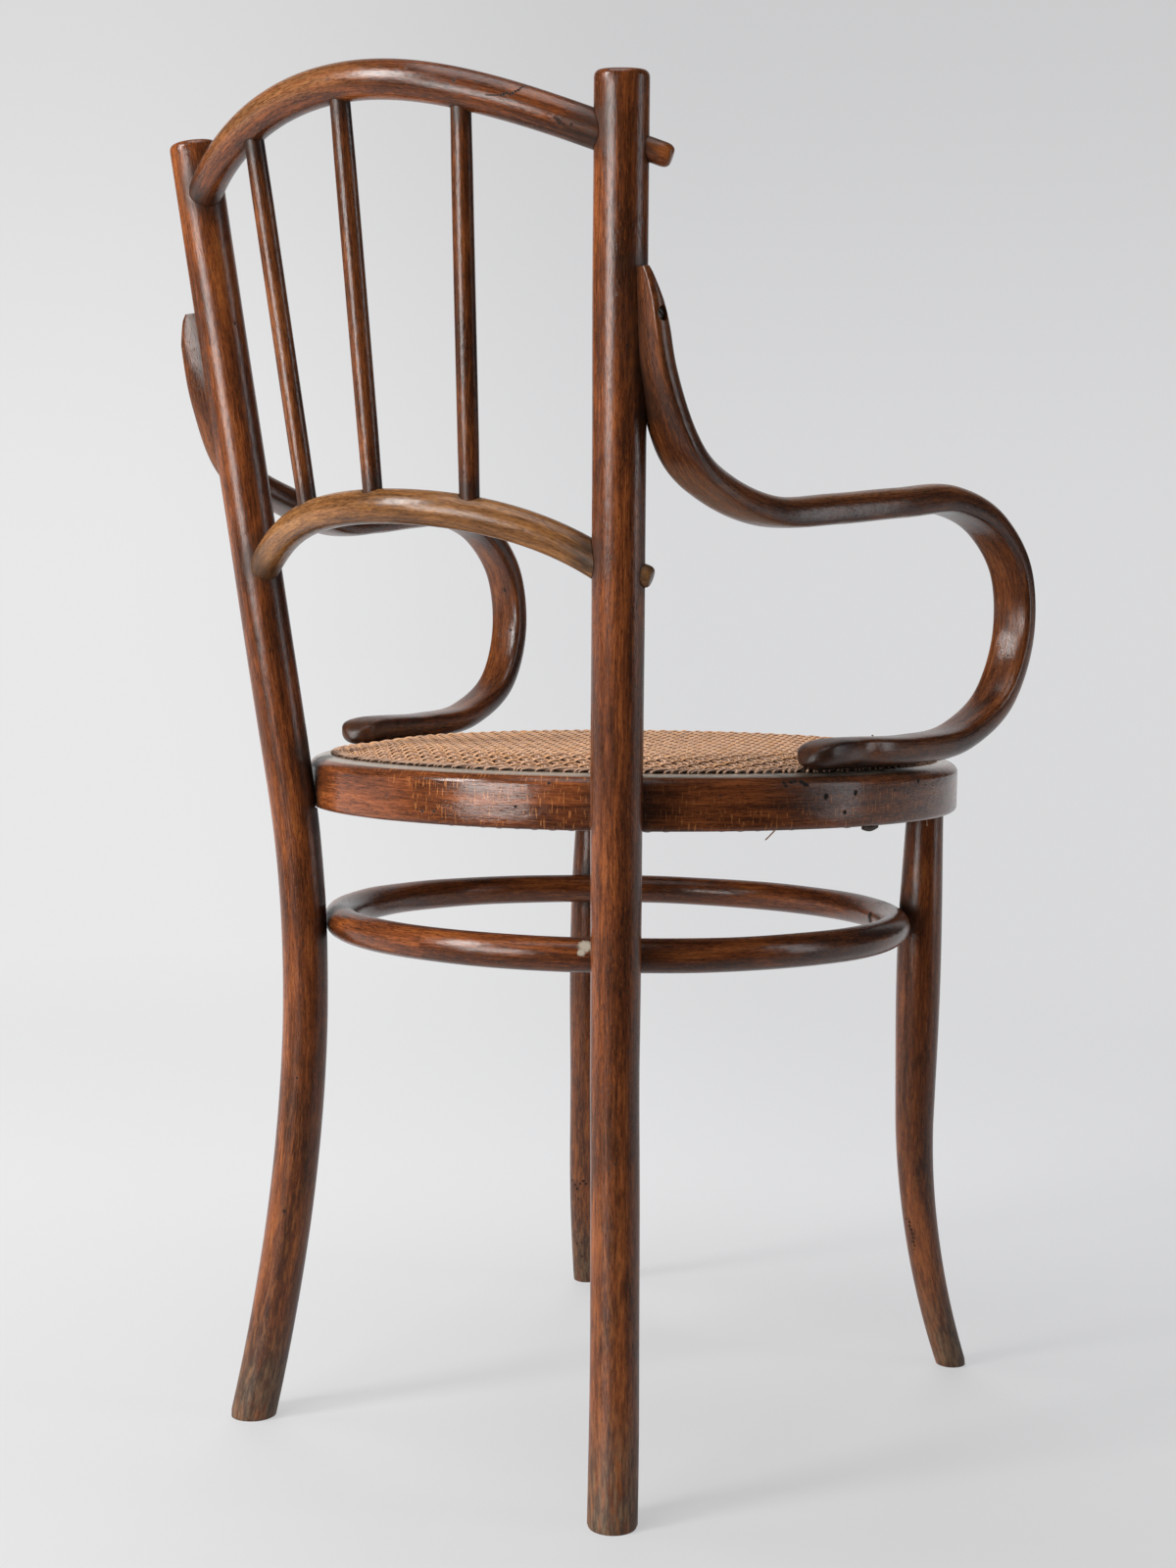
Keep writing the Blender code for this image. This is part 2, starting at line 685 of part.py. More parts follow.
def arm_sizes(spot, length):
    """The arm's width, and its flat and rounded depths, at a distance from its tip."""
    tip = min(1.0, spot / ARM_FEATHER)
    end = min(1.0, (length - spot) / ARM_END)
    width = ARM_TOP_WIDTH + (ARM_WIDTH - ARM_TOP_WIDTH) * min(1.0, spot / ARM_TOP_LENGTH)
    width *= min(1.0, 0.62 + 0.38 * (tip * 2.2) ** 0.6)
    width *= min(1.0, 0.60 + 0.40 * (end * 1.5) ** 0.6)
    grown = min(1.0, spot / ARM_TOP_FLAT_LENGTH)
    flat = ARM_FLAT * (ARM_TOP_FLAT_SHARE + (1 - ARM_TOP_FLAT_SHARE) * grown)
    flat *= 1.0 - ARM_END_SLOPE * (1 - end) ** 1.5
    crown = ARM_TIP_CROWN + (ARM_CROWN - ARM_TIP_CROWN) * math.sin(tip * math.pi / 2)
    return width, flat, crown


def make_arm(side_name, side):
    """One arm: feathered against the post, bent forward and back down to the rim."""
    spots, axis = arm_axis()
    rings = []
    for i, centre in enumerate(axis):
        ahead = axis[min(i + 1, len(axis) - 1)] - axis[max(i - 1, 0)]
        along = ahead.normalized()
        twist = ARM_TWIST * max(0.0, 1 - spots[i] / ARM_TWIST_LENGTH)
        guide = Vector((math.cos(twist), math.sin(twist), 0))
        across = (guide - along * guide.dot(along)).normalized()
        inner = across.cross(along).normalized()
        ring = []
        for sideways, inward in arm_section(*arm_sizes(spots[i], spots[-1])):
            place = centre + across * sideways + inner * inward
            ring.append((side * place.x, place.y, place.z))
        rings.append(ring)
    piece = loft("arm_" + side_name, rings, wood())
    level = [ARM_LEAVE_HEIGHT - 0.08, ARM_TOP_HEIGHT + 0.05]
    scribe = rod("arm_scribe_" + side_name, [post_centre(z, side) for z in level],
                 [post_radius(z) + GAP for z in level])
    combine(piece, scribe)
    low = side * (SEAT_HALF_WIDTH - 2 * RIM_WIDTH)
    high = side * (SEAT_HALF_WIDTH + RIM_WIDTH)
    seat_cut = block("arm_seat_cut_" + side_name,
                     (min(low, high), -SEAT_HALF_DEPTH, SEAT_HEIGHT - RIM_HEIGHT),
                     (max(low, high), SEAT_HALF_DEPTH, arm_underside()))
    combine(piece, seat_cut)
    return piece


def screw_profile(length, head_radius, head_height, shank_radius, grow=0.0, open_head=0.0):
    """A round-headed screw: its axis points from the head to the tip, head at zero."""
    head = head_radius + grow
    shank = shank_radius + grow
    profile = [(0.0, length + grow), (shank, length + grow), (shank, grow)]
    if open_head:
        profile += [(head, grow), (head, -open_head), (0.0, -open_head)]
    else:
        profile += [(head, 0.0), (head * 0.8, -head_height * 0.6),
                    (head * 0.4, -head_height), (0.0, -head_height)]
    return profile


def place_screw(name, seat, direction, length, carved, steps=10):
    """A screw with its head on the seat point, and its hole in each carved piece."""
    turned(name, screw_profile(length, SCREW_HEAD_RADIUS, SCREW_HEAD_HEIGHT, SCREW_RADIUS),
           seat, direction, (STEEL, 0.5, 0.8), steps)
    hole = turned(name + "_hole",
                  screw_profile(length, SCREW_HEAD_RADIUS, SCREW_HEAD_HEIGHT, SCREW_RADIUS,
                                GAP, OPEN_ENDS), seat, direction, steps=steps)
    for piece in carved:
        combine(piece, hole)


def place_pin(name, start, direction, length, carved):
    """A plain pin driven in from behind, flush with the post."""
    turned(name, [(0.0, length), (PIN_RADIUS, length), (PIN_RADIUS, 0.0), (0.0, 0.0)],
           start, direction, (STEEL, 0.6, 0.5), 8)
    reach = length + GAP
    hole = turned(name + "_hole",
                  [(0.0, reach), (PIN_RADIUS + GAP, reach), (PIN_RADIUS + GAP, -OPEN_ENDS),
                   (0.0, -OPEN_ENDS)], start, direction, steps=8)
    for piece in carved:
        combine(piece, hole)


def toward(start, target):
    flat = Vector((target.x - start.x, target.y - start.y, 0))
    return flat.normalized()


def fasten_ring(ring, posts, legs):
    """Four screws from inside the ring into the posts and the front legs."""
    for kind, carriers, centre_at in (("post", posts, post_centre), ("leg", legs, leg_centre)):
        for side_name, side in SIDES.items():
            centre = touched_centre(centre_at, side)
            angles = [2 * math.pi * i / 720 for i in range(720)]
            near = min((ring_point(angle) for angle in angles), key=lambda p: (p - centre).length)
            outward = toward(near, centre)
            seat = near - outward * (RING_RADIUS - SCREW_HEAD_HEIGHT)
            length = 2 * RING_RADIUS + SCREW_BITE
            place_screw("ring_" + kind + "_screw_" + side_name, seat, outward, length,
                        (ring, carriers[side_name]))


def fasten_posts(rim, posts):
    """A screw from inside the rim into each rear post."""
    for side_name, side in SIDES.items():
        centre = post_centre(RIM_MIDDLE, side)
        place = oval_point(SEAT_HALF_WIDTH, SEAT_HALF_DEPTH, POST_ANGLE,
                           SCREW_HEAD_HEIGHT - RIM_WIDTH)
        seat = Vector((side * place.x, place.y, RIM_MIDDLE))
        outward = toward(seat, centre)
        length = RIM_WIDTH - SCREW_HEAD_HEIGHT + GAP + SCREW_BITE
        place_screw("seat_post_screw_" + side_name, seat, outward, length,
                    (rim, posts[side_name]))


def fasten_arms(arms, posts, rim, panel):
    """A screw through each arm's tip into the post, and one up through the rim."""
    height = (ARM_TOP_HEIGHT + ARM_LEAVE_HEIGHT) / 2
    axis = arm_axis()[1]
    for side_name, side in SIDES.items():
        near = min(axis, key=lambda p: abs(p.z - height))
        centre = post_centre(height, side)
        start = Vector((side * near.x, near.y, near.z))
        inward = toward(start, centre)
        seat = start - inward * (ARM_CROWN - ARM_SCREW_SINK)
        length = (centre - seat).length - 0.004
        place_screw("arm_post_screw_" + side_name, seat, inward, length,
                    (arms[side_name], posts[side_name]))
        on_rim = min(axis[len(axis) // 2:], key=lambda p: abs(p.y - ARM_SCREW_BACK))
        seat = Vector((side * on_rim.x, on_rim.y,
                       SEAT_HEIGHT - RIM_HEIGHT + SCREW_HEAD_HEIGHT))
        length = RIM_HEIGHT + SCREW_BITE
        place_screw("arm_seat_screw_" + side_name, seat, (0, 0, 1), length,
                    (rim, panel, arms[side_name]))


def pin_rails(rails, posts):
    """A pin through the back of each post into each rail's tenon."""
    for rail, piece in rails:
        for side_name, side in SIDES.items():
            radius = post_radius(rail["height"])
            shoulder, run = tenon_line(rail, side)
            centre = post_centre(shoulder.z + run.z * radius, side)
            start = centre + Vector((0, radius - PIN_RADIUS * 0.3, 0))
            length = radius - PIN_RADIUS * 0.3 + RAIL_TENON_RADIUS * 0.4
            place_pin(rail["name"] + "_pin_" + side_name, start, (0, -1, 0), length,
                      (piece, posts[side_name]))


def main():
    reach = 2 * (SEAT_HALF_DEPTH + POST_HEIGHT)
    floor = block("floor_cut", (-reach, -reach, -0.1), (reach, reach, 0.0))
    posts = make_rear_posts(floor)
    legs = make_front_legs(floor)
    rim = make_seat_rim()
    for socket in leg_sockets():
        combine(rim, socket)
    panel = make_cane_panel()
    ring = make_stretcher_ring()
    spindle_cutters = make_spindles()
    rails = [(rail, make_rail(rail, posts, spindle_cutters)) for rail in (CREST, LOWER)]
    arms = {name: make_arm(name, side) for name, side in SIDES.items()}
    fasten_ring(ring, posts, legs)
    fasten_posts(rim, posts)
    fasten_arms(arms, posts, rim, panel)
    pin_rails(rails, posts)
    back = rail_point(CREST, 0.0).y + CREST_RADIUS
    front = -max(SEAT_HALF_DEPTH, -leg_centre(0.0).y + LEG_FOOT_RADIUS)
    CARRIER.location = (0, -(back + front) / 2, 0)
    bpy.context.view_layer.update()


main()
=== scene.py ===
"""Looks of the bentwood armchair: shaped wood, woven cane, finishes, light and camera.

Everything is in metres, +Z up. Shapes are worked out about the middle of the seat, as in
the part's source, and make_piece carries them to where the frame has the seat.
"""
import math
import random

import bmesh
import bpy
import numpy as np
from mathutils import Matrix, Vector, noise
from mathutils.bvhtree import BVHTree


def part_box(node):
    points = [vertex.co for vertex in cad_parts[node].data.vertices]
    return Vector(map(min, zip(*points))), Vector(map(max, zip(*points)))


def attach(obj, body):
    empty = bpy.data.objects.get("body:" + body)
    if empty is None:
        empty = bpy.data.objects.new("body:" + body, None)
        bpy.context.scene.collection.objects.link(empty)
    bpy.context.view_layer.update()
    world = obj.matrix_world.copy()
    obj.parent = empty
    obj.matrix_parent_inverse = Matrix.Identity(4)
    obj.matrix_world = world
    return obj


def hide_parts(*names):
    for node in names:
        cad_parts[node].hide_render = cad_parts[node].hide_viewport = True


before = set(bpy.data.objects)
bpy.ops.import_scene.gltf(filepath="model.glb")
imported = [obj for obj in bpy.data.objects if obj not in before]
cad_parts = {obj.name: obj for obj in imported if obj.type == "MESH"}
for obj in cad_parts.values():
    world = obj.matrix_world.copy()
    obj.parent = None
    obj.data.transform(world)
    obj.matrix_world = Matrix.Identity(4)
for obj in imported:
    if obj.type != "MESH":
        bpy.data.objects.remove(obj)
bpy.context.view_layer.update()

# Sizes that the frame gives
RIM_LOW, RIM_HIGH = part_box("seat_rim")
SEAT_HEIGHT = RIM_HIGH[2]
RIM_BOTTOM = RIM_LOW[2]
RIM_HEIGHT = SEAT_HEIGHT - RIM_BOTTOM
RIM_MIDDLE = (SEAT_HEIGHT + RIM_BOTTOM) / 2
SEAT_HALF_WIDTH = (RIM_HIGH[0] - RIM_LOW[0]) / 2
SEAT_HALF_DEPTH = (RIM_HIGH[1] - RIM_LOW[1]) / 2
SEAT_MIDDLE = (RIM_HIGH[1] + RIM_LOW[1]) / 2
SEAT_SHIFT = (0.0, SEAT_MIDDLE, 0.0)

# Sizes repeated from the part's source
POST_HEIGHT = 0.880
RIM_WIDTH = 0.036
POST_RADIUS, POST_LOWER_RADIUS = 0.0163, 0.0157
POST_ANGLE = math.radians(34.8)
POST_LEAN_OUT, POST_LEAN_BACK = 0.0868, 0.1344
POST_WAIST_HEIGHT, POST_WAIST_IN, POST_WAIST_FORWARD = 0.287, 0.0058, 0.0106
POST_FOOT_OUT, POST_FOOT_BACK = 0.0230, 0.0264
LEG_ANGLE = math.radians(47.4)
LEG_RADII = [(0.0, 0.0108), (0.115, 0.0127), (0.3475, 0.0160), (RIM_BOTTOM, 0.0135)]
LEG_KICK_HEIGHT, LEG_KICK_OUT, LEG_KICK_FRONT, LEG_BOW = 0.195, 0.0206, 0.0310, 0.0045
RING_HEIGHT, RING_SLOPE, RING_RADIUS = 0.3475, 0.012, 0.0113
RING_HALF_WIDTH, RING_HALF_DEPTH, RING_MIDDLE = 0.19614, 0.21094, 0.01859
TENON_RADIUS = 0.0070
SPINDLE_RADIUS = 0.0066
SPINDLE_TOP_SPREAD, SPINDLE_BOTTOM_SPREAD = 0.0864, 0.0678
ARM_WIDTH, ARM_FLAT, ARM_CROWN, ARM_TIP_CROWN = 0.0302, 0.0082, 0.0122, 0.0014
ARM_TOP_WIDTH, ARM_TOP_LENGTH = 0.0240, 0.110
ARM_TOP_FLAT_SHARE, ARM_TOP_FLAT_LENGTH = 0.50, 0.280
ARM_TOP_HEIGHT, ARM_LEAVE_HEIGHT = 0.769, 0.709
ARM_TOP_OUT = ARM_TOP_BACK = 0.0038
ARM_REST = SEAT_HEIGHT + 0.183
ARM_ON_RIM = SEAT_HEIGHT + 0.0148
ARM_FEATHER = 0.045
ARM_TWIST, ARM_TWIST_LENGTH = math.radians(30.0), 0.110
ARM_LEAVE_STEPS = [(0.0250, -0.0302, 0.0130), (0.0210, -0.0770, -0.0070)]
ARM_BENDS = [(-0.0210, 0.1250, 0.893), (-0.0080, 0.0680, 0.920), (0.0060, 0.0090, 0.961),
             (0.0145, -0.0500, 0.988), (0.0195, -0.0985, 0.905), (0.0225, -0.1300, 0.730),
             (0.0220, -0.1380, 0.460), (0.0185, -0.1190, 0.200), (0.0140, -0.0735, 0.045),
             (0.0085, -0.0130, 0.000), (-0.0010, 0.0430, -0.003), (-0.0116, 0.0925, -0.006)]
CREST = {"node": "crest_rail", "height": 0.8417, "radius": 0.0123, "rise": 0.0445,
         "bow": 0.0529, "rise_flatness": 0.157, "bow_flatness": -0.060,
         "stick_out": 0.0135, "tenon_fall": 0.355}
LOWER = {"node": "lower_back_rail", "height": 0.5904, "radius": 0.0115, "rise": 0.0424,
         "bow": 0.0514, "rise_flatness": -0.413, "bow_flatness": 0.3035,
         "stick_out": 0.0045, "tenon_fall": 0.35}
SIDES = {"left": 1, "right": -1}

# Fineness of the shaped wood, and the joint line that touching pieces keep
STEP = 0.004
AROUND = 28
GAP = 0.0002

# Rounding of the arm's lower end: how far it reaches along the arm above, below and across,
# and how far its tip lies below the arm's axis
KNOB_TOP, KNOB_UNDER, KNOB_SIDES, KNOB_DROP = 0.036, 0.010, 0.015, 0.0080

# The hollow in the arm's side: its distance from the lower tip, its length and its depth
SCOOP_PLACE, SCOOP_LENGTH, SCOOP_DEPTH = 0.047, 0.014, 0.0035

# The swelling of the ring's glued lap: where it is, how wide it is and how much it adds
RING_LAP_ANGLE, RING_LAP_SPREAD, RING_LAP_SWELL = math.radians(75), 0.13, 0.055

# Foot of a post or leg: its lowest rings, and how much its edge is eased
FOOT_LEVELS, FOOT_EASE = [0.0, 0.0014], 0.0009

# Cane: its holes and how far they are in from the rim's outer edge, the weave and its crown
CANE_HOLES, HOLE_INSET = 112, 0.0195
CANE_PITCH, PAIR_SPREAD = 0.0125, 0.00135
STRAND_WIDTH, STRAND_THICKNESS = 0.0022, 0.0011
CANE_LEVEL = SEAT_HEIGHT + 0.0016
CANE_CROWN, CANE_CROWN_SLOPE = 0.0068, 0.006

# Camera, from the middle of the seat
CAMERA_PLACE = Vector((-0.9518, 1.3324, 0.5553))
CAMERA_YAW, CAMERA_PITCH, CAMERA_ROLL = -0.92875, -0.0675, 0.0152
CAMERA_LENS, CAMERA_SENSOR = 51.18, 36.0

STAINED, GOLDEN, CANE_SLOT, STEEL = "stained_wood", "golden_wood", "cane", "dark_steel"


def smooth_step(low, high, value):
    """0 below low, 1 above high and smooth between; works on numbers and arrays."""
    t = np.clip((value - low) / (high - low), 0.0, 1.0)
    return t * t * (3 - 2 * t)


def smooth_value(stations, at):
    """A smooth value between stations of (place, value), flat beyond both ends."""
    places = [place for place, value in stations]
    values = np.array([value for place, value in stations], dtype=float)
    if at <= places[0]:
        return values[0]
    if at >= places[-1]:
        return values[-1]
    slopes = np.gradient(values, places, axis=0)
    i = max(k for k in range(len(places) - 1) if places[k] <= at)
    span = places[i + 1] - places[i]
    t = (at - places[i]) / span
    rise = 3 * t ** 2 - 2 * t ** 3
    return (values[i] * (1 - rise) + values[i + 1] * rise
            + slopes[i] * span * (t ** 3 - 2 * t ** 2 + t)
            + slopes[i + 1] * span * (t ** 3 - t ** 2))


def evenly(low, high, step):
    """Values from low to high about a step apart."""
    count = max(2, round(abs(high - low) / step) + 1)
    return [low + (high - low) * i / (count - 1) for i in range(count)]


def on_side(point, side):
    """A point of the +X side (1), or its mirror image on the -X side (-1)."""
    return Vector((side * point.x, point.y, point.z))


def level_way(start, end):
    """The level direction from one point to another."""
    return Vector((end.x - start.x, end.y - start.y, 0)).normalized()


def dome(end, radius, height, inset, shares):
    """The places along a rod, and its radii there, of a rounded end."""
    turns = [share * math.pi / 2 for share in shares]
    return ([end - height * (1 - math.sin(turn)) for turn in turns],
            [radius - inset * (1 - math.cos(turn)) for turn in turns])


def oval_point(half_width, half_depth, angle, out=0.0):
    """A point on an oval, its angle taken from +Y towards +X, moved out square to it."""
    point = Vector((half_width * math.sin(angle), half_depth * math.cos(angle)))
    normal = Vector((math.sin(angle) / half_width, math.cos(angle) / half_depth))
    return point + normal.normalized() * out


def seat_point(angle, out, level):
    place = oval_point(SEAT_HALF_WIDTH, SEAT_HALF_DEPTH, angle, out)
    return Vector((place.x, place.y, level))


def post_radius(height):
    return float(smooth_value([(0.0, POST_LOWER_RADIUS), (POST_WAIST_HEIGHT, POST_LOWER_RADIUS),
                               (RIM_MIDDLE + RIM_HEIGHT, POST_RADIUS)], height))


def post_centre(height, side=1):
    seat = oval_point(SEAT_HALF_WIDTH, SEAT_HALF_DEPTH, POST_ANGLE,
                      post_radius(RIM_MIDDLE) + 0.0003)
    rise = height - RIM_MIDDLE
    if rise >= 0:
        out, back = POST_LEAN_OUT * rise, POST_LEAN_BACK * rise
    else:
        span = RIM_MIDDLE - POST_WAIST_HEIGHT
        up = max(0.0, (height - POST_WAIST_HEIGHT) / span)
        down = max(0.0, 1 - height / POST_WAIST_HEIGHT)
        out = (POST_FOOT_OUT * down ** 1.6
               - POST_WAIST_IN * (1 - up ** (POST_LEAN_OUT * span / POST_WAIST_IN)))
        back = (POST_FOOT_BACK * down ** 2
                - POST_WAIST_FORWARD * (1 - up ** (POST_LEAN_BACK * span / POST_WAIST_FORWARD)))
    return Vector((side * (seat.x + out), seat.y + back, height))


def leg_centre(height, side=1):
    top = oval_point(SEAT_HALF_WIDTH, SEAT_HALF_DEPTH, math.pi - LEG_ANGLE, -RIM_WIDTH / 2)
    down = max(0.0, 1 - height / LEG_KICK_HEIGHT)
    bow = LEG_BOW * (1 - (max(height, 0.0) / RIM_BOTTOM) ** 5) if height < RIM_BOTTOM else 0.0
    return Vector((side * (top.x + LEG_KICK_OUT * down ** 1.75),
                   top.y + bow - LEG_KICK_FRONT * down ** 2.1, height))


def ring_point(angle, out=0.0):
    place = oval_point(RING_HALF_WIDTH, RING_HALF_DEPTH, angle, out)
    back = place.y + RING_MIDDLE
    return Vector((place.x, back, RING_HEIGHT + RING_SLOPE * back))


def rail_point(rail, share, side=1):
    """A point on a rail's axis, where share runs from 0 at the middle to 1 at the post."""
    end = post_centre(rail["height"])
    up = 1 - (1 + rail["rise_flatness"]) * share ** 2 + rail["rise_flatness"] * share ** 4
    back = 1 - (1 + rail["bow_flatness"]) * share ** 2 + rail["bow_flatness"] * share ** 4
    return Vector((side * end.x * share, end.y + rail["bow"] * back,
                   rail["height"] + rail["rise"] * up))


def tenon_line(rail, side):
    """Where a tenon leaves the rail, and its run per metre of level distance."""
    along = rail_point(rail, 1.0, side) - rail_point(rail, 0.995, side)
    along /= math.hypot(along.x, along.y)
    shoulder = rail_point(rail, 1.0, side) - along * post_radius(rail["height"])
    return shoulder, Vector((along.x, along.y, -rail["tenon_fall"]))


def spindle_ends(spread):
    """The two points where a spindle's axis meets the axes of the rails."""
    side = 1 if spread >= 0 else -1
    ends = []
    for rail, reach in ((LOWER, SPINDLE_BOTTOM_SPREAD), (CREST, SPINDLE_TOP_SPREAD)):
        share = abs(spread) * reach / post_centre(rail["height"]).x
        ends.append(rail_point(rail, share, side))
    return ends


def arm_stations():
    top, leave = post_centre(ARM_TOP_HEIGHT), post_centre(ARM_LEAVE_HEIGHT)
    out = Vector((POST_RADIUS + ARM_TOP_OUT, ARM_TOP_BACK, 0))
    rim = SEAT_HALF_WIDTH - RIM_WIDTH / 2
    stations = [top + out, leave + out + Vector((0.0040, -0.0062, 0))]
    for across, back, up in ARM_LEAVE_STEPS:
        stations.append(Vector((leave.x + across, leave.y + back, ARM_REST + up)))
    for across, back, share in ARM_BENDS:
        level = ARM_ON_RIM + (ARM_REST - ARM_ON_RIM) * share
        stations.append(Vector((rim + across, back, level)))
    return stations


def arm_axis(step=STEP, fine_end=False):
    """Points along the smooth curve through the arm's stations, for the +X side."""
    stations = arm_stations()
    places = [0.0]
    for before, after in zip(stations, stations[1:]):
        places.append(places[-1] + (after - before).length)
    table = [(place, tuple(station)) for place, station in zip(places, stations)]
    spots = evenly(0.0, places[-1], step)
    if fine_end:
        start = places[-1] - KNOB_TOP
        spots = [spot for spot in spots if spot < start - step / 2]
        spots += [places[-1] - KNOB_TOP * (1 - k / 18) ** 2 for k in range(19)]
    return spots, [Vector(smooth_value(table, spot)) for spot in spots]


# Meshes: every wooden skin keeps a corner attribute "grain" that unbends the wood, so a
# finish can follow the length of a bent rod: along it, across it and up through it.

def add_object(name, data):
    """An object in the scene for a mesh, a lamp or a camera."""
    thing = bpy.data.objects.new(name, data)
    bpy.context.scene.collection.objects.link(thing)
    return thing


def store(mesh, name, values):
    """Keep one value for each point of a mesh."""
    layer = mesh.attributes.new(name, "FLOAT", "POINT")
    layer.data.foreach_set("value", np.asarray(values, dtype=float))


def make_piece(name, places, faces, grain=None, tones=None):
    """A mesh object from points about the seat's middle, with its attributes."""
    mesh = bpy.data.meshes.new(name)
    moved = np.asarray(places, dtype=float) + np.array(SEAT_SHIFT)
    mesh.from_pydata(moved.tolist(), [], faces)
    if grain is not None:
        layer = mesh.attributes.new("grain", "FLOAT_VECTOR", "CORNER")
        layer.data.foreach_set("vector", np.asarray(grain, dtype=float).ravel())
    if tones is not None:
        store(mesh, "tone", tones)
    return add_object(name, mesh)


def tangent(centres, i, hoop):
    count = len(centres)
    before = centres[i - 1] if hoop or i > 0 else centres[0]
    after = centres[(i + 1) % count] if hoop or i < count - 1 else centres[-1]
    return (after - before).normalized()


def sweep(name, centres, outlines, guides, hoop=False, seed=0.0, level_foot=False):
    """A skin carried along a path.

    Each outline is a ring of (across, up) steps, and each guide is the direction that
    across leans to. A level foot slides the first ring down its own axis to the floor.
    """
    count, around = len(centres), len(outlines[0])
    places, offsets, spots = [], [], [0.0]
    for i, centre in enumerate(centres):
        along = tangent(centres, i, hoop)
        across = (guides[i] - along * guides[i].dot(along)).normalized()
        up = along.cross(across)
        for a, b in outlines[i]:
            place = centre + across * a + up * b
            if level_foot and (i == 0 or place.z < 0.0006):
                place += along * ((0.0 if i == 0 else 0.0006) - place.z) / along.z
            places.append(place)
            offsets.append((a, b))
        following = centres[(i + 1) % count]
        spots.append(spots[-1] + (following - centre).length)
    faces, grain = [], []
    for i in range(count if hoop else count - 1):
        k = (i + 1) % count
        for j in range(around):
            m = (j + 1) % around
            faces.append((i * around + j, i * around + m, k * around + m, k * around + j))
            for ring, spot, corner in ((i, i, j), (i, i, m), (k, i + 1, m), (k, i + 1, j)):
                grain.append((spots[spot] + seed, *offsets[ring * around + corner]))
    if not hoop:
        last = (count - 1) * around
        faces.append(tuple(reversed(range(around))))
        grain += [(seed, *offsets[j]) for j in reversed(range(around))]
        faces.append(tuple(last + j for j in range(around)))
        grain += [(spots[count - 1] + seed, *offsets[last + j]) for j in range(around)]
    return make_piece(name, places, faces, grain)


def round_outline(radius, spot, wobble, seed, around=AROUND):
    """A nearly round ring: a hand-finished rod is never quite true."""
    ring = []
    for k in range(around):
        turn = 2 * math.pi * k / around
        drift = noise.noise(Vector((spot * 9 + seed, math.cos(turn) * 0.9, math.sin(turn) * 0.9)))
        reach = radius + wobble * drift
        ring.append((reach * math.cos(turn), reach * math.sin(turn)))
    return ring


def rod(name, centres, radii, guide, wobble=0.0002, seed=0.0, around=AROUND, **more):
    spot, outlines = 0.0, []
    for i, radius in enumerate(radii):
        if i:
            spot += (centres[i] - centres[i - 1]).length
        outlines.append(round_outline(radius, spot, wobble, seed, around))
    return sweep(name, centres, outlines, [guide] * len(centres), seed=seed, **more)


def cutter(name, centres, radii, around=AROUND):
    guide = Vector((0, 1, 0)) if abs(tangent(centres, 0, False).x) > 0.7 else Vector((1, 0, 0))
    return rod(name, centres, radii, guide, wobble=0.0, around=around)


def combine(piece, other, operation="DIFFERENCE"):
    boolean = piece.modifiers.new(operation.lower(), "BOOLEAN")
    boolean.operation = operation
    boolean.solver = "EXACT"
    boolean.object = other


CUTTERS = []


def settle(piece, sharp=35):
    """Turn a piece's modifiers into its mesh, and shade it smooth up to an angle."""
    bpy.context.view_layer.update()
    graph = bpy.context.evaluated_depsgraph_get()
    mesh = bpy.data.meshes.new_from_object(piece.evaluated_get(graph),
                                           preserve_all_data_layers=True, depsgraph=graph)
    piece.modifiers.clear()
    piece.data = mesh
    mesh.shade_smooth()
    mesh.set_sharp_from_angle(angle=math.radians(sharp))


# Wear: grime gathers where pieces meet, and painted shade there stands in for the shadow between
# parts; hands and backs rub the stain, feet are scuffed.

def contact_spots():
    """Places, radii and strengths of the grime and painted shade that gather at joints and where
    pieces touch.
    """
    spots = []
    middle = Vector((0, 0, 0))
    for side in SIDES.values():
        for rail in (CREST, LOWER):
            shoulder, run = tenon_line(rail, side)
            spots.append((shoulder, 0.026, 0.9))
            spots.append((shoulder + run * 2 * POST_RADIUS, 0.014, 0.8))
        for level in (RIM_BOTTOM, RIM_MIDDLE, SEAT_HEIGHT):
            centre = post_centre(level, side)
            spots.append((centre + level_way(centre, middle) * POST_RADIUS, 0.030, 0.95))
        spots.append((leg_centre(RIM_BOTTOM, side), 0.024, 0.8))
        for centre, radius in ((post_centre(RING_HEIGHT, side), POST_LOWER_RADIUS),
                               (leg_centre(RING_HEIGHT, side), 0.016)):
            spots.append((centre + level_way(centre, middle) * radius, 0.026, 0.9))
        distances, axis = arm_axis(0.012)
        for distance, place in zip(distances, axis):
            place = on_side(place, side)
            if distance < 0.085:
                spots.append(((place + post_centre(place.z, side)) / 2, 0.016, 0.85))
            if distance > distances[-1] - 0.10:
                spots.append((Vector((place.x, place.y, SEAT_HEIGHT)), 0.020, 0.8))
        spots.append((on_side(axis[-1], side), 0.060, 0.72))
    for spread in (1, 0, -1):
        bottom, top = spindle_ends(spread)
        along = (top - bottom).normalized()
        spots.append((bottom + along * 0.014, 0.014, 0.8))
        spots.append((top - along * 0.014, 0.015, 0.8))
    return spots


CONTACTS = contact_spots()


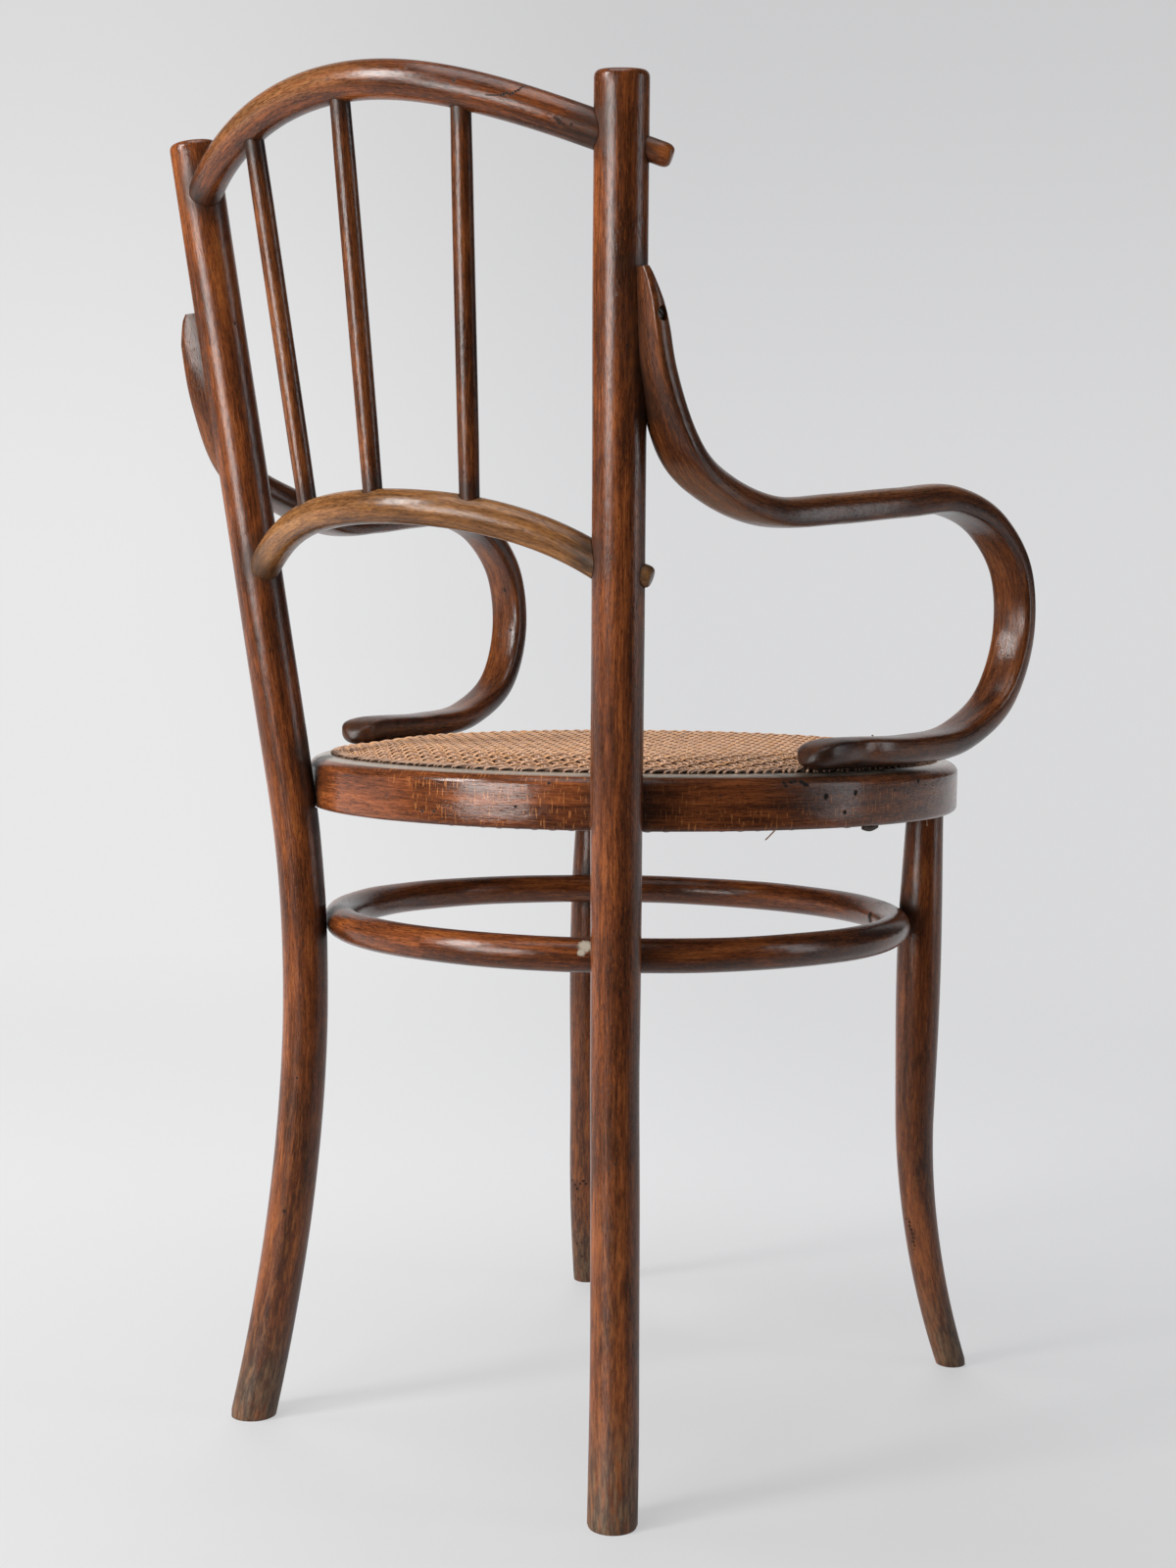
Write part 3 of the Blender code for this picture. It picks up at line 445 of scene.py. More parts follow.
def wear(piece, worn=None):
    """Store how grimy and shaded (painted shade at the joints), worn and scuffed each point of a
    wooden piece is.
    """
    mesh = piece.data
    places = np.empty(len(mesh.vertices) * 3)
    mesh.vertices.foreach_get("co", places)
    places = places.reshape(-1, 3) - np.array(SEAT_SHIFT)
    # The grime mask is also painted shade: it darkens each point the nearer it lies to a joint or
    # contact
    grime = np.zeros(len(places))
    for spot, radius, strength in CONTACTS:
        distance = np.linalg.norm(places - np.array(spot), axis=1)
        grime = np.maximum(grime, strength * (1 - smooth_step(radius * 0.3, radius, distance)))
    normals = np.empty(len(mesh.vertices) * 3)
    mesh.vertex_normals.foreach_get("vector", normals)
    normals = normals.reshape(-1, 3)
    store(mesh, "grime", grime)
    store(mesh, "worn", worn(places, normals) if worn else np.zeros(len(places)))
    store(mesh, "scuff", 1 - smooth_step(0.004, 0.085, places[:, 2]))


# Posts, legs and the ring

def make_posts():
    """Both rear posts with their rounded tops, their mortises and the flat for the rim."""
    posts = {}
    around, round_top = 96, 0.0042
    column = [seat_point(2 * math.pi * i / around, GAP, level)
              for level in (RIM_BOTTOM - GAP, SEAT_HEIGHT + GAP) for i in range(around)]
    faces = [(around + i, around + (i + 1) % around, (i + 1) % around, i)
             for i in range(around)]
    faces += [tuple(range(around)), tuple(reversed(range(around, 2 * around)))]
    notch = make_piece("post_notch", column, faces)
    CUTTERS.append(notch)
    for side_name, side in SIDES.items():
        levels = FOOT_LEVELS + evenly(0.005, POST_HEIGHT - round_top, STEP)
        radii = [post_radius(level) for level in levels]
        radii[0] -= FOOT_EASE
        top_levels, top_radii = dome(POST_HEIGHT, POST_RADIUS, round_top, round_top,
                                     (0.25, 0.5, 0.72, 0.88, 0.97, 1.0))
        levels += top_levels + [POST_HEIGHT + 0.0002]
        radii += top_radii + [POST_RADIUS * 0.45]
        post = rod("rear_post_" + side_name + "_wood", [post_centre(z, side) for z in levels],
                   radii, Vector((1, 0, 0)), 0.00035, 3.0 + side, 32, level_foot=True)
        combine(post, notch)
        for rail in (CREST, LOWER):
            shoulder, run = tenon_line(rail, side)
            hole = cutter(post.name + "_mortise_" + rail["node"],
                          [shoulder - run * 0.01, shoulder + run * 0.06],
                          [TENON_RADIUS + GAP] * 2, 20)
            CUTTERS.append(hole)
            combine(post, hole)
        posts[side_name] = post
    return posts


def make_legs():
    """Both front legs; their tenons stay hidden in the rim."""
    legs = {}
    for side_name, side in SIDES.items():
        levels = FOOT_LEVELS + evenly(0.005, RIM_BOTTOM - GAP, STEP)
        radii = [float(smooth_value(LEG_RADII, level)) for level in levels]
        radii[0] -= FOOT_EASE
        legs[side_name] = rod("front_leg_" + side_name + "_wood",
                              [leg_centre(z, side) for z in levels], radii,
                              Vector((1, 0, 0)), 0.00045, 7.0 + side, level_foot=True)
    return legs


def make_ring():
    """The stretcher ring, with the swelling of its glued lap and an uneven surface."""
    count = 340
    centres, outlines = [], []
    for i in range(count):
        angle = 2 * math.pi * i / count
        centres.append(ring_point(angle))
        lap = math.exp(-((angle - RING_LAP_ANGLE) / RING_LAP_SPREAD) ** 2)
        radius = RING_RADIUS * (1 + RING_LAP_SWELL * lap)
        turn = Vector((math.cos(angle), math.sin(angle), 0)) * 1.6
        ring = []
        for k in range(AROUND):
            phase = 2 * math.pi * k / AROUND
            drift = noise.noise(Vector((turn.x * 2, turn.y * 2, 5)) + Vector(
                (math.cos(phase), math.sin(phase), 0)) * 0.7)
            reach = radius + 0.00035 * drift
            ring.append((reach * math.cos(phase), reach * math.sin(phase)))
        outlines.append(ring)
    return sweep("stretcher_ring_wood", centres, outlines, [Vector((0, 0, 1))] * count,
                 hoop=True, seed=11.0)


# Rails and spindles

def make_rail(rail):
    """A back rail: scribed to the posts, holed for the spindles, with through tenons."""
    shares = evenly(-1.0, 1.0, STEP / post_centre(rail["height"]).x)
    centres = [rail_point(rail, abs(share), 1 if share > 0 else -1) for share in shares]
    swell = 0.0006 if rail is CREST else 0.0004
    radii = [rail["radius"] - swell * share ** 2 - 0.0004 for share in shares]
    piece = rod(rail["node"] + "_wood", centres, radii, Vector((0, 0, 1)), 0.0004,
                rail["height"] * 30)
    for side_name, side in SIDES.items():
        near = [rail["height"] - 0.06, rail["height"] + 0.06]
        scribe = cutter(piece.name + "_scribe_" + side_name,
                        [post_centre(z, side) for z in near],
                        [post_radius(z) + GAP for z in near], 40)
        combine(piece, scribe)
        shoulder, run = tenon_line(rail, side)
        reach = 2 * post_radius(rail["height"]) + rail["stick_out"]
        rounded = min(0.0045, rail["stick_out"] * 0.8)
        spots = [-0.012] + evenly(0.0, reach - rounded, STEP)
        tips, tip_radii = dome(reach, TENON_RADIUS, rounded, rounded * 0.75,
                               (0.3, 0.55, 0.77, 0.92, 1.0))
        tenon = rod(piece.name + "_tenon_" + side_name,
                    [shoulder + run * spot for spot in spots + tips],
                    [TENON_RADIUS] * len(spots) + tip_radii, Vector((0, 0, 1)), 0.0002, 2.0, 24)
        combine(piece, tenon, "UNION")
        CUTTERS.extend((scribe, tenon))
    for spread in (1, 0, -1):
        bottom, top = spindle_ends(spread)
        hole = cutter(piece.name + "_hole_" + str(spread), [bottom, top],
                      [SPINDLE_RADIUS + GAP] * 2, 24)
        CUTTERS.append(hole)
        combine(piece, hole)
    return piece


def make_spindles():
    """Three spindles, a little thinner where they enter the rails."""
    spindles = []
    for name, spread in (("left", 1), ("centre", 0), ("right", -1)):
        bottom, top = spindle_ends(spread)
        length = (top - bottom).length
        spots = evenly(0.002, length - 0.002, STEP)
        radii = []
        for spot in spots:
            end = min(spot, length - spot)
            radii.append(SPINDLE_RADIUS - 0.00025 * (1 - float(smooth_step(0.010, 0.05, end))))
        along = (top - bottom).normalized()
        spindles.append(rod("back_spindle_" + name + "_wood",
                            [bottom + along * spot for spot in spots], radii,
                            Vector((1, 0, 0)), 0.0002, 21.0 + spread * 2, 24))
    return spindles


# Seat band

def rim_outline():
    """The band's section from its outer edge: rounded above, eased below, worn inside."""
    width, height = RIM_WIDTH, RIM_HEIGHT
    corners = [(0.0, 0.0, 0.0035, 0.0035, 180, 4), (width, 0.0, 0.0035, 0.0035, 270, 4),
               (width, height, 0.0140, 0.0080, 0, 12), (0.0, height, 0.0020, 0.0020, 90, 3)]
    outline = []
    for across, up, wide, tall, start, steps in corners:
        middle = (across + (wide if across == 0.0 else -wide),
                  up + (tall if up == 0.0 else -tall))
        for step in range(steps + 1):
            turn = math.radians(start + 90 * step / steps)
            outline.append((middle[0] + wide * math.cos(turn),
                            middle[1] + tall * math.sin(turn)))
        if (across, up) == (width, 0.0):
            outline += [(width, height * share) for share in (0.25, 0.42, 0.58)]
        if (across, up) == (width, height):
            outline += [(width * share, height) for share in (0.50, 0.33)]
    return outline


def make_rim():
    """The bent seat band, whose outer face is a little uneven."""
    count = 360
    centres, outlines, guides = [], [], []
    base = rim_outline()
    for i in range(count):
        angle = 2 * math.pi * i / count
        inner = seat_point(angle, -RIM_WIDTH, RIM_BOTTOM)
        outer = seat_point(angle, 0.0, RIM_BOTTOM)
        centres.append(inner)
        guides.append((outer - inner).normalized())
        face = [noise.noise(Vector((math.cos(angle) * 3, math.sin(angle) * 3, b * 25)))
                for a, b in base]
        outlines.append([(a + (0.00030 * (w - 1) if a > RIM_WIDTH * 0.6 else 0.0), b)
                         for (a, b), w in zip(base, face)])
    return sweep("seat_rim_wood", centres, outlines, guides, hoop=True, seed=40.0)


# Arms

def rounding(distance, reach):
    """How much of its full size a rounded end has at a distance from its tip."""
    share = min(1.0, distance / reach)
    return max(0.06, math.sqrt(1 - (1 - share) ** 2))


def arm_sizes(spot, length):
    """The arm's width, flat and rounded depths and drop, at a distance from its top tip."""
    tip, end = min(1.0, spot / ARM_FEATHER), length - spot
    width = ARM_TOP_WIDTH + (ARM_WIDTH - ARM_TOP_WIDTH) * min(1.0, spot / ARM_TOP_LENGTH)
    width *= min(1.0, 0.50 + 0.50 * (tip * 2.2) ** 0.55) * rounding(end, KNOB_SIDES)
    grown = min(1.0, spot / ARM_TOP_FLAT_LENGTH)
    flat = ARM_FLAT * (ARM_TOP_FLAT_SHARE + (1 - ARM_TOP_FLAT_SHARE) * grown)
    crown = ARM_TIP_CROWN + (ARM_CROWN - ARM_TIP_CROWN) * math.sin(tip * math.pi / 2)
    over = rounding(end, KNOB_TOP)
    drop = KNOB_DROP * (1 - over)
    return width, (flat + drop) * over, (crown - drop) * rounding(end, KNOB_UNDER), drop


def arm_outline(width, flat, crown, drop):
    """The arm's section: nearly flat on the inside of the bend, rounded outside."""
    outline = []
    for step in range(40):
        turn = 2 * math.pi * step / 40
        across = math.copysign(abs(math.cos(turn)) ** 0.8, math.cos(turn)) * width / 2
        depth = math.sin(turn)
        depth = depth * crown if depth < 0 else flat * depth ** 0.36
        outline.append((across, depth - drop))
    return outline


def make_arms():
    """Both arms: feathered against the post, bent forward, and back down to the rim."""
    arms = {}
    spots, axis = arm_axis(fine_end=True)
    length = spots[-1]
    for side_name, side in SIDES.items():
        centres, outlines, guides = [], [], []
        for spot, centre in zip(spots, axis):
            twist = ARM_TWIST * max(0.0, 1 - spot / ARM_TWIST_LENGTH)
            guide = Vector((math.cos(twist), math.sin(twist), 0))
            scoop = math.exp(-((length - spot - SCOOP_PLACE) / SCOOP_LENGTH) ** 2)
            outline = []
            for a, b in arm_outline(*arm_sizes(spot, length)):
                drift = noise.noise(Vector((spot * 10 + side, a * 60, b * 60)))
                a += 0.0003 * drift - math.copysign(0.0003, a)
                if a > 0.004:
                    a -= SCOOP_DEPTH * scoop * float(smooth_step(0.004, 0.012, a))
                outline.append((side * a, b))
            if side < 0:
                outline.reverse()
            centres.append(on_side(centre, side))
            guides.append(Vector((guide.x, side * guide.y, 0)))
            outlines.append([(a, -b) for a, b in reversed(outline)])
        arm = sweep("arm_" + side_name + "_wood", centres, outlines, guides,
                    seed=50.0 + 5 * side)
        near = [ARM_LEAVE_HEIGHT - 0.08, ARM_TOP_HEIGHT + 0.05]
        scribe = cutter(arm.name + "_scribe", [post_centre(z, side) for z in near],
                        [post_radius(z) + GAP for z in near], 48)
        combine(arm, scribe)
        low, high = SEAT_HEIGHT - 0.03, SEAT_HEIGHT + 0.0006
        middle = SEAT_HALF_WIDTH * side
        corners = [(middle + x, y, z) for z in (low, high)
                   for x, y in ((-0.09, -0.25), (0.09, -0.25), (0.09, 0.25), (-0.09, 0.25))]
        bed = make_piece(arm.name + "_bed", corners,
                         [(3, 2, 1, 0), (4, 5, 6, 7), (0, 1, 5, 4), (1, 2, 6, 5),
                          (2, 3, 7, 6), (3, 0, 4, 7)])
        combine(arm, bed)
        seat, inward = arm_screw_place(side)
        hole = cutter(arm.name + "_screw_hole", [seat - inward * 0.02, seat + inward * 0.0002],
                      [0.0046, 0.0046], 24)
        combine(arm, hole)
        CUTTERS.extend((scribe, bed, hole))
        arms[side_name] = arm
    return arms


def arm_screw_place(side):
    """The seat of the screw through an arm's top, and its direction into the post."""
    height = (ARM_TOP_HEIGHT + ARM_LEAVE_HEIGHT) / 2
    near = min(arm_axis(0.014)[1], key=lambda p: abs(p.z - height))
    start = on_side(near, side)
    inward = level_way(start, post_centre(height, side))
    return start - inward * (ARM_CROWN - 0.0040), inward


# Cane

def cane_height(x, y):
    """The level of the woven surface, which stands a little crowned over the seat."""
    share = np.sqrt((x / SEAT_HALF_WIDTH) ** 2 + (y / SEAT_HALF_DEPTH) ** 2)
    inside = (1 - share) * SEAT_HALF_WIDTH
    crown = CANE_CROWN - CANE_CROWN_SLOPE * y
    return (CANE_LEVEL + crown * smooth_step(0.016, 0.070, inside)
            - 0.0006 * smooth_step(0.10, 0.22, inside))


def ribbons(name, paths, width, thickness, seed, across=None):
    """Flat strands with a rounded upper side, along many paths, in one mesh."""
    draw = random.Random(seed)
    section = np.array([(-0.5, -0.5), (0.5, -0.5), (0.40, 0.12), (0.0, 0.5), (-0.40, 0.12)])
    section = section * (width, thickness)
    around = len(section)
    places, faces, grain, tones = [], [], [], []
    for index, path in enumerate(paths):
        path = np.asarray(path, dtype=float)
        along = np.gradient(path, axis=0)
        along /= np.linalg.norm(along, axis=1)[:, None]
        if across is None:
            side = np.cross(along, (0.0, 0.0, 1.0))
            side /= np.linalg.norm(side, axis=1)[:, None]
        else:
            side = np.repeat(np.asarray(across[index])[None, :], len(path), axis=0)
        up = np.cross(side, along)
        first = len(places)
        spread = 1 + 0.10 * draw.uniform(-1, 1)
        rings = (path[:, None, :] + side[:, None, :] * section[None, :, :1] * spread
                 + up[:, None, :] * section[None, :, 1:])
        places.extend(rings.reshape(-1, 3).tolist())
        tones.extend([draw.random()] * (len(path) * around))
        offset = draw.uniform(0, 50)
        steps = np.linalg.norm(np.diff(path, axis=0), axis=1)
        run = np.concatenate(([0.0], np.cumsum(steps))) + offset
        for i in range(len(path) - 1):
            low, high = first + i * around, first + (i + 1) * around
            for j in range(around):
                m = (j + 1) % around
                faces.append((low + j, low + m, high + m, high + j))
                grain += [(run[i], *section[j]), (run[i], *section[m]),
                          (run[i + 1], *section[m]), (run[i + 1], *section[j])]
        last = first + (len(path) - 1) * around
        faces.append(tuple(first + j for j in reversed(range(around))))
        grain += [(run[0], *section[j]) for j in reversed(range(around))]
        faces.append(tuple(last + j for j in range(around)))
        grain += [(run[-1], *section[j]) for j in range(around)]
    faces = [tuple(reversed(face)) for face in faces]
    flipped, at = [], 0
    for face in faces:
        flipped += reversed(grain[at:at + len(face)])
        at += len(face)
    return make_piece(name, places, faces, flipped, tones)


def strand_paths(kind):
    """Paths of one layer of the six-way weave, each with its rises and dips."""
    half_x = SEAT_HALF_WIDTH - HOLE_INSET
    half_y = SEAT_HALF_DEPTH - HOLE_INSET
    draw = random.Random(kind)
    lift = STRAND_THICKNESS * 0.80
    paths = []
    if kind in ("long", "cross"):
        reach, length = (half_x, half_y) if kind == "long" else (half_y, half_x)
        lines = int(reach / CANE_PITCH)
        for line in range(-lines, lines + 1):
            for pair in (-1, 1):
                at = line * CANE_PITCH + pair * PAIR_SPREAD + draw.uniform(-0.0002, 0.0002)
                end = length * math.sqrt(max(0.0, 1 - (line * CANE_PITCH / reach) ** 2))
                if end < CANE_PITCH:
                    continue
                run = np.array(evenly(-end, end, 0.0016))
                node = run / CANE_PITCH
                near = (node - np.round(node)) * CANE_PITCH
                over = np.exp(-((near - PAIR_SPREAD) / 0.0011) ** 2)
                under = np.exp(-((near + PAIR_SPREAD) / 0.0011) ** 2)
                sign = pair if kind == "long" else -pair
                wave = lift * sign * (over - under)
                sway = 0.00025 * np.sin(run * 90 + line * 2.1)
                x, y = (at + sway, run) if kind == "long" else (run, at + sway)
                paths.append(np.stack((x, y, cane_height(x, y) + wave), axis=1))
        return paths
    slope = 1 if kind == "rising" else -1
    count = int((half_x + half_y) / CANE_PITCH) + 1
    for line in range(-count, count + 1):
        offset = (line + 0.5) * CANE_PITCH
        centre_x = -slope * offset * half_x ** 2 / (half_x ** 2 + half_y ** 2)
        square = half_x ** 2 * half_y ** 2 * (half_x ** 2 + half_y ** 2 - offset ** 2)
        if square <= 0:
            continue
        reach = math.sqrt(square) / (half_x ** 2 + half_y ** 2)
        if reach < CANE_PITCH * 0.7:
            continue
        x = np.array(evenly(centre_x - reach, centre_x + reach, 0.0013))
        y = slope * x + offset + draw.uniform(-0.0003, 0.0003)
        wave = lift * 1.6 * slope * -np.cos(2 * math.pi * x / CANE_PITCH)
        paths.append(np.stack((x, y, cane_height(x, y) + wave), axis=1))
    return paths


def hole_point(share, out, level):
    """A point near the oval of holes, at a share of the way round from the back."""
    return tuple(seat_point(2 * math.pi * share, -HOLE_INSET + out, level))


def knot_paths(draw):
    """Short slanting loops that hold the binder down."""
    count = round(CANE_HOLES * 2.5)
    turns = [math.pi * step / 8 for step in range(9)]
    paths = []
    for k in range(count):
        share = (k + 0.5 + draw.uniform(-0.18, 0.18)) / count
        slant = draw.uniform(0.8, 2.2) / count
        high = draw.uniform(0.0018, 0.0027)
        paths.append([hole_point(share + slant * math.cos(turn), 0.0038 * math.cos(turn),
                                 SEAT_HEIGHT + 0.0001 + high * math.sin(turn) ** 0.7)
                      for turn in turns])
    return paths


def under_paths(draw):
    """Loops from hole to hole below the band, about one in four of them missing."""
    return [[hole_point((k + 0.1 + 0.8 * step / 6) / CANE_HOLES, 0.0008 * math.sin(k * 2.3),
                        RIM_BOTTOM - 0.0012 * math.sin(math.pi * step / 6))
             for step in range(7)]
            for k in range(CANE_HOLES) if draw.random() >= 0.25]


def loose_paths():
    """Four ends that hang below the band, and one that stands up from the seat."""
    paths = [[hole_point(share + 0.0012 * step * lean / 0.004, 0.002 + lean * step / 7,
                         RIM_BOTTOM - 0.007 * step / 7) for step in range(8)]
             for share, lean in ((0.825, 0.0035), (0.70, 0.004), (0.62, 0.003), (0.28, 0.004))]
    paths.append([hole_point(0.562 - 0.0004 * step, 0.0, SEAT_HEIGHT + 0.001 + 0.0015 * step)
                  for step in range(8)])
    return paths


def make_cane():
    """The woven panel: four layers of strands, the binder, its knots and the ends below."""
    pieces = [ribbons("cane_" + kind, strand_paths(kind), STRAND_WIDTH, STRAND_THICKNESS,
                      "strand " + kind)
              for kind in ("long", "cross", "rising", "falling")]
    draw = random.Random("binder")
    count = CANE_HOLES * 4
    binder = [hole_point(i / count, 0.0006 * math.sin(i * 1.7), CANE_LEVEL)
              for i in range(count + 1)]
    pieces.append(ribbons("cane_binder", [binder], 0.0050, 0.0011, "binder strip"))
    pieces.append(ribbons("cane_knots", knot_paths(draw), 0.0024, 0.0010, "knots"))
    pieces.append(ribbons("cane_under_loops", under_paths(draw), 0.0026, 0.0010, "under"))
    torn = [hole_point(0.7665 + 0.0017 * step, 0.009,
                       RIM_BOTTOM - 0.0008 - 0.0018 * math.sin(math.pi * step / 7))
            for step in range(8)]
    pieces.append(ribbons("cane_torn_end", [torn], 0.0042, 0.0008, "torn", [(0.0, 0.0, 1.0)]))
    loose = loose_paths()
    pieces.append(ribbons("cane_loose_ends", loose, 0.0022, 0.0008, "loose",
                          [(0.0, 1.0, 0.0)] * len(loose)))
    return pieces


# Screws

def make_screw(name, seat, direction, slot, head=0.0042, height=0.0018, length=0.012):
    """A round-headed screw with a slot, turned about its axis."""
    shaft = 0.0019
    profile = [(0.0, length), (shaft, length - 0.001), (shaft, 0.0), (head, 0.0)]
    for step in range(1, 7):
        turn = math.pi / 2 * step / 6
        profile.append((head * math.cos(turn), -0.0003 - (height - 0.0003) * math.sin(turn)))
    mesh = bpy.data.meshes.new(name)
    mesh.from_pydata([(radius, 0.0, up) for radius, up in profile],
                     [(i, i + 1) for i in range(len(profile) - 1)], [])
    screw = add_object(name, mesh)
    turned = screw.modifiers.new("turn", "SCREW")
    turned.steps = turned.render_steps = 28
    turned.use_merge_vertices = True
    turned.merge_threshold = 0.00001
    slot_box = add_object(name + "_slot", bpy.data.meshes.new(name + "_slot"))
    shell = bmesh.new()
    bmesh.ops.create_cube(shell, size=1.0, matrix=Matrix.Rotation(slot, 4, "Z")
                          @ Matrix.Translation((0, 0, -height))
                          @ Matrix.Diagonal((head * 2.4, 0.0009, 0.0018, 1)))
    shell.to_mesh(slot_box.data)
    shell.free()
    combine(screw, slot_box)
    settle(screw)
    bpy.data.objects.remove(slot_box, do_unlink=True)
    turn = Vector((0, 0, 1)).rotation_difference(Vector(direction)).to_matrix().to_4x4()
    screw.data.transform(Matrix.Translation(Vector(seat) + Vector(SEAT_SHIFT)) @ turn)
    return screw


def make_screws():
    """The screws of the ring, the seat, and the arms, where the part has them."""
    draw = random.Random("slots")
    places = []
    for side_name, side in SIDES.items():
        for kind, centre in (("post", post_centre(RING_HEIGHT, side)),
                             ("leg", leg_centre(RING_HEIGHT, side))):
            angles = [2 * math.pi * i / 720 for i in range(720)]
            near = min((ring_point(a) for a in angles), key=lambda p: (p - centre).length)
            outward = level_way(near, centre)
            places.append(("ring_" + kind + "_screw_" + side_name,
                           near - outward * (RING_RADIUS - 0.0004), outward))
        seat = on_side(seat_point(POST_ANGLE, -RIM_WIDTH, RIM_MIDDLE), side)
        places.append(("seat_post_screw_" + side_name, seat,
                       level_way(seat, post_centre(RIM_MIDDLE, side))))
        places.append(("arm_post_screw_" + side_name, *arm_screw_place(side)))
        low = min(arm_axis(0.014)[1][28:], key=lambda p: abs(p.y - 0.055))
        places.append(("arm_seat_screw_" + side_name,
                       Vector((side * low.x, low.y, RIM_BOTTOM)), Vector((0, 0, 1))))
    return [(make_screw(node + "_head", seat, direction, draw.uniform(0, 3)), node)
            for node, seat, direction in places]


# Finishes

class Nodes:
    """Short calls that add nodes to a tree and join them."""

    def __init__(self, tree):
        self.tree = tree

    def add(self, kind, inputs=None, **settings):
        node = self.tree.nodes.new("ShaderNode" + kind)
        for key, value in settings.items():
            setattr(node, key, value)
        for key, value in (inputs or {}).items():
            self.feed(node.inputs[key], value)
        return node

    def feed(self, socket, value):
        if isinstance(value, bpy.types.NodeSocket):
            self.tree.links.new(value, socket)
        elif isinstance(value, tuple) and len(value) == 3 and socket.type == "RGBA":
            socket.default_value = (*value, 1.0)
        else:
            socket.default_value = value

    def attribute(self, name, output="Fac"):
        return self.add("Attribute", attribute_name=name).outputs[output]

    def position(self):
        return self.add("NewGeometry").outputs["Position"]

    def math(self, operation, first, second=0.0, third=0.0):
        return self.add("Math", {0: first, 1: second, 2: third}, operation=operation).outputs[0]

    def dot(self, vector, direction):
        return self.add("VectorMath", {0: vector, 1: tuple(direction)},
                        operation="DOT_PRODUCT").outputs["Value"]

    def noise(self, vector, scale, detail=3.0, roughness=0.55, shift=(0.0, 0.0, 0.0)):
        stretched = self.add("Mapping", {"Vector": vector, "Scale": scale,
                                         "Location": shift}).outputs[0]
        return self.add("TexNoise", {"Vector": stretched, "Scale": 1.0, "Detail": detail,
                                     "Roughness": roughness}).outputs["Fac"]

    def band(self, value, low, high, to_low=0.0, to_high=1.0):
        return self.add("MapRange", {"Value": value, "From Min": low, "From Max": high,
                                     "To Min": to_low, "To Max": to_high},
                        interpolation_type="SMOOTHSTEP").outputs[0]

    def mix(self, factor, first, second):
        node = self.add("Mix", data_type="RGBA")
        self.feed(node.inputs["Factor"], factor)
        self.feed([s for s in node.inputs if s.name == "A" and s.type == "RGBA"][0], first)
        self.feed([s for s in node.inputs if s.name == "B" and s.type == "RGBA"][0], second)
        return [s for s in node.outputs if s.type == "RGBA"][0]

    def over(self, colour, mask, strength, shade):
        """A colour with a shade laid over it where the mask is."""
        return self.mix(self.math("MULTIPLY", mask, strength), colour, shade)

    def broken(self, name, noise, low, high, least=0.0):
        """A value stored on the mesh, broken up by noise."""
        return self.math("MULTIPLY", self.attribute(name),
                         self.band(noise, low, high, least, 1.0))

    def flat(self, kind, colour, **more):
        """A shader that has a colour and little else."""
        return self.add(kind, {"Color": colour, **more}).outputs[0]

    def mix_shader(self, factor, first, second):
        return self.add("MixShader", {0: factor, 1: first, 2: second}).outputs[0]

    def by_ray(self, plain, mirrored, shown):
        """One shader for the light, one for reflections and one for the camera."""
        path = self.add("LightPath")
        reflected = self.math("MAXIMUM", path.outputs["Is Glossy Ray"],
                              path.outputs["Is Transmission Ray"])
        surface = self.mix_shader(reflected, plain, mirrored)
        return self.mix_shader(path.outputs["Is Camera Ray"], surface, shown)

    def bump(self, height, strength, distance, normal=None):
        inputs = {"Height": height, "Strength": strength, "Distance": distance}
        if normal is not None:
            inputs["Normal"] = normal
        return self.add("Bump", inputs).outputs[0]


class Recipe(Nodes):
    """The nodes of one material with a Principled shader."""

    def __init__(self, name):
        self.material = bpy.data.materials.new(name)
        self.material.use_nodes = True
        super().__init__(self.material.node_tree)
        self.shader = self.tree.nodes["Principled BSDF"]

    def set(self, **values):
        for key, value in values.items():
            self.feed(self.shader.inputs[key.replace("_", " ")], value)


# Each kind of mark: its colour, and how strongly it covers the wood
MARK_LOOKS = {"dark": ((0.006, 0.005, 0.004), 0.97), "dent": ((0.018, 0.010, 0.007), 0.85),
              "pale": ((0.42, 0.38, 0.30), 0.80)}


def add_marks(recipe, colour, marks):
    """Worm holes, chips, dents and pale spots at their places on the wood."""
    position = recipe.position()
    ragged = recipe.noise(position, (700.0, 700.0, 700.0), 2.0, 0.6)
    holes = 0.0
    for kind, (shade, strength) in MARK_LOOKS.items():
        total = 0.0
        for place, radius in marks[kind]:
            away = recipe.add("VectorMath", {0: position, 1: tuple(place)},
                              operation="DISTANCE").outputs["Value"]
            edge = recipe.math("MULTIPLY_ADD", ragged, -radius * 0.9, away)
            total = recipe.math("MAXIMUM", total, recipe.band(edge, radius * 0.75, radius * 0.15))
        colour = recipe.over(colour, total, strength, shade)
        holes = recipe.math("MAXIMUM", holes, total)
    return colour, holes


# Colours of the wood beside its grain: flecks on the band and dust with a painted sheen on its
# upper faces, then wherever it is faded, rubbed, scuffed, or grimy with painted shade at the
# joints
RAY_FLECK, BAND_DUST_AND_SHEEN = (0.50, 0.19, 0.055), (0.330, 0.290, 0.235)
FADED, GRIME_AND_SHADE_TONE = (0.330, 0.115, 0.030), (0.011, 0.007, 0.005)
WORN_DARK, WORN_PALE = (0.150, 0.058, 0.018), (0.400, 0.205, 0.080)
SCUFF_DARK, SCUFF_PALE = (0.050, 0.034, 0.022), (0.145, 0.098, 0.058)


